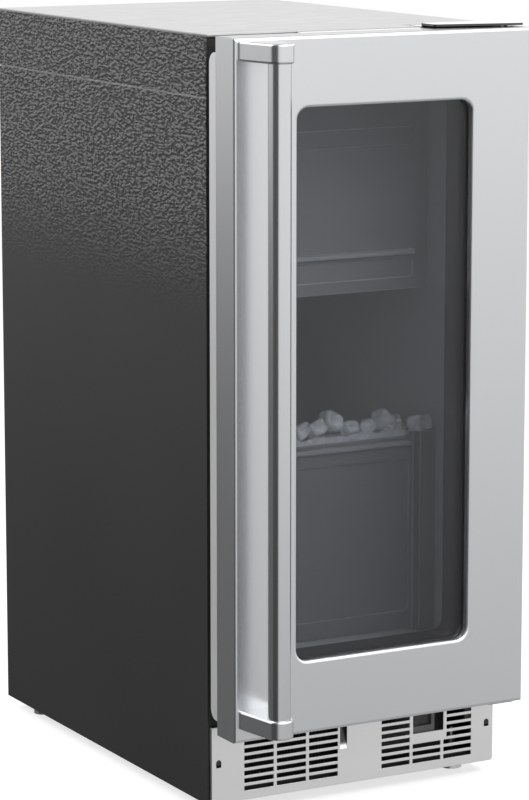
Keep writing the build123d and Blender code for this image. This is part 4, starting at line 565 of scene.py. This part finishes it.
dress(liner, "inner_liner")
dress(dam, "ice_dam", "dam_rails")
dress(cover, "ice_maker_cover")
dress(inner_frame, "door_inner_frame")
dress(black_plastic, "rocker_switch", "fan_blade", "cord_gland", "door_bushings", "glass_spacer")
dress(grey_plastic, "switch_bezel")
dress(white_plastic, "water_sump", "water_distributor", "water_inlet_valve", "pump_impeller", "cutter_grid")
dress(rubber, "door_gasket", "compressor_mounts")
dress(foam, "cabinet_foam", "door_foam")
dress(hose, "water_lines", "drain_line")
print("moulded parts finished")

# %% [markdown]
# ## Works and fasteners
#
# Behind the grille are copper tubes, aluminium fins and turned steel. Copper darkens to brown where flux and
# fingers touched it, so its two shades are further apart than elsewhere. Zinc-plated screws are bright with a
# hint of yellow, and the levelling legs are the same.

# %% Small metal parts
copper = finish("copper_tube", ((0.5, 0.22, 0.12), (0.82, 0.44, 0.28)), (0.22, 0.42), metal=1.0, cloud=25.0,
                grain=500.0, relief=0.000004, edge_wear_and_sheen=1.1)
plated = finish(
    "zinc_plated_steel", ((0.6, 0.6, 0.58), (0.68, 0.68, 0.66)), (0.22, 0.36), metal=1.0, cloud=40.0,
    grain=900.0, relief=0.000003, edge_wear_and_sheen=1.15, edge=0.0003,
)
motor = finish("motor_case", ((0.35, 0.36, 0.37), (0.45, 0.46, 0.47)), (0.35, 0.5), metal=1.0, cloud=20.0,
               grain=900.0, relief=0.00001, edge_wear_and_sheen=1.3)
plate = finish(
    "freezing_plate_steel", ((0.66, 0.67, 0.68), (0.7, 0.71, 0.72)), (0.16, 0.26), metal=1.0, cloud=9.0,
    grain=500.0, stretch=(0.03, 1.0, 1.0), relief=0.000002, edge_wear_and_sheen=1.05,
)
dress(copper, "refrigerant_lines", "evaporator_coil", "filter_drier")
dress(plated, "hinge_pins", "handle_screws", "leg_front_left", "leg_front_right",
      "leg_rear_left", "leg_rear_right", "cutter_wires")
dress(motor, "fan_motor", "circulation_pump")
dress(plate, "evaporator_plate")
print("metal works finished")

# %% [markdown]
# ## Ice
#
# Clear ice bends light like weak glass. Small cracks and trapped air make its inside milky in places. A full
# simulation of that is slow, so the surface does two jobs: a little of it transmits, most is pale haze with
# edges lightened by a painted highlight, and a lumpy relief breaks up its shine.

# %% One chunk of ice
# painted highlight: the ice's edges come out lighter through the recipe's edge mix
ice_look = finish(
    "clear_ice", ((0.62, 0.65, 0.68), (0.95, 0.97, 0.99)), (0.05, 0.2), cloud=120.0, grain=140.0,
    relief=0.0003, edge_wear_and_sheen=1.9, edge=0.003, transmission_weight=0.12, ior=1.31,
)
cells = 7
hollow_reach = 0.14
skin_wobble = 0.012


def ice_chunk(shaper, centre, size, lean, chance, rounding=0.24, hollow=0.5):
    """A half-melted block: round edges, a hollow in its top face, and a slightly wavy skin."""
    turned = Euler(lean).to_matrix()
    points = {}

    def point(corner):
        if corner not in points:
            spot = Vector(corner) / cells - Vector((0.5, 0.5, 0.5))
            core = Vector([max(rounding - 0.5, min(0.5 - rounding, value)) for value in spot])
            spot = core + (spot - core).normalized() * rounding
            if spot.z > 0.2:
                spot.z -= hollow * max(0.0, 1.0 - (spot.x ** 2 + spot.y ** 2) / hollow_reach)
            spot += Vector([chance.uniform(-skin_wobble, skin_wobble) for _ in range(3)])
            points[corner] = shaper.verts.new(Vector(centre) + turned @ (spot * Vector(size)))
        return points[corner]

    for axis in range(3):
        for side in (0, cells):
            for across in range(cells):
                for along in range(cells):
                    ring = (
                        (across, along), (across + 1, along), (across + 1, along + 1), (across, along + 1)
                    )
                    corners = [list(pair) for pair in ring]
                    for corner in corners:
                        corner.insert(axis, side)
                    shaper.faces.new([point(tuple(corner)) for corner in corners])


print("one chunk has", 6 * cells * cells, "faces")

# %% [markdown]
# The heap is a lumpy bed with chunks strewn on it. The bed falls away to the back, so that from outside we
# see only the front rows over the dam. Their places come from the dam and the rail that hold them, and one
# chunk has stayed on the flat end of the rail.

# %% Fill the bin
ice_low, ice_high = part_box("ice")
dam_low, dam_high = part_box("ice_dam")
rail_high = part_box("dam_rails")[1]
bed_front = dam_high[1] + 0.001
bed_crest = dam_high[2] + 0.006
bed_fall = 0.31
bed_level = 0.03
step_depth, step_floor = 0.131, 0.2892
chance = random.Random(4)

# the bed: a lumpy sheet, pushed down to the floor behind the dam and to the liner's step further back
shaper = bmesh.new()
half_wide = ice_high[0]
half_deep = (ice_high[1] - bed_front) / 2
bmesh.ops.create_grid(shaper, x_segments=44, y_segments=40, size=1.0)
top_faces = list(shaper.faces)
for vertex in shaper.verts:
    x = vertex.co.x * half_wide
    y = bed_front + half_deep * (1.0 + vertex.co.y)
    fall = max(0.0, y - bed_front - bed_level) * bed_fall
    vertex.co = (x, y, bed_crest - fall + chance.uniform(-0.003, 0.003))
under = bmesh.ops.extrude_face_region(shaper, geom=top_faces)
for vertex in under["geom"]:
    if isinstance(vertex, bmesh.types.BMVert):
        vertex.co.z = ice_low[2] if vertex.co.y < step_depth else step_floor

# the strewn chunks
chunk_side = 0.024
pitch = 0.032
for row in range(8):
    for column in range(9):
        x = (column - 4) * pitch + chance.uniform(-0.006, 0.006)
        y = bed_front + 0.035 + row * pitch + chance.uniform(-0.005, 0.005)
        z = bed_crest - (y - bed_front - bed_level) * bed_fall + chance.uniform(0.0, 0.004)
        lean = [chance.uniform(-0.6, 0.6) for _ in range(3)]
        ice_chunk(shaper, (x, y, z), (chunk_side, chunk_side, 0.7 * chunk_side), lean, chance)

# the front row: place along the dam, behind it and over the bed, then side and lean
front_chunks = (
    ((-0.104, 0.016, 0.024), 0.026, (1.0, 0.5, 0.3)),
    ((-0.082, 0.01, 0.008), 0.023, (1.3, -0.3, 0.1)),
    ((-0.06, 0.014, 0.012), 0.024, (0.9, 0.4, 0.2)),
    ((-0.034, 0.018, 0.021), 0.031, (1.1, 0.6, 0.2)),
    ((-0.014, 0.01, 0.008), 0.02, (1.3, -0.5, 0.3)),
    ((0.008, 0.012, 0.009), 0.024, (1.0, -0.2, 0.35)),
    ((0.03, 0.016, 0.016), 0.027, (1.2, 0.5, 0.1)),
    ((0.052, 0.01, 0.007), 0.021, (1.1, 0.15, 0.3)),
    ((0.076, 0.012, 0.004), 0.022, (0.9, -0.3, 0.2)),
    ((0.1, 0.014, 0.011), 0.027, (1.1, 0.65, 0.2)),
    ((0.122, 0.012, -0.001), 0.02, (1.2, 0.2, 0.4)),
)
for (x, back, rise), side, lean in front_chunks:
    ice_chunk(shaper, (x, bed_front + back, bed_crest + rise), (side, 0.74 * side, 0.8 * side), lean, chance)

# the chunk on the end of the rail
lone_side = 0.026
lone_place = (0.131, dam_low[1] - 0.006, rail_high[2] + 0.3 * lone_side + 0.0006)
ice_chunk(
    shaper, lone_place, (lone_side, 0.74 * lone_side, 0.8 * lone_side), (1.35, 0.0, 0.3), chance, 0.2, 0.5
)

heap_mesh = bpy.data.meshes.new("ice_heap")
bmesh.ops.recalc_face_normals(shaper, faces=shaper.faces)
for face in shaper.faces:
    face.smooth = True
shaper.to_mesh(heap_mesh)
shaper.free()
ice_heap = bpy.data.objects.new("ice_heap", heap_mesh)
bpy.context.scene.collection.objects.link(ice_heap)
heap_mesh.materials.append(ice_look)
dress(ice_look, "ice")
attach(ice_heap, "cabinet")
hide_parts("ice")
print("ice heap:", len(heap_mesh.polygons), "faces")

# %% [markdown]
# ## Last checks
#
# Every part must have its finish, so the parts still without one are listed.

# %% List the parts without a finish
print("parts without a finish:", sorted(set(parts) - dressed))
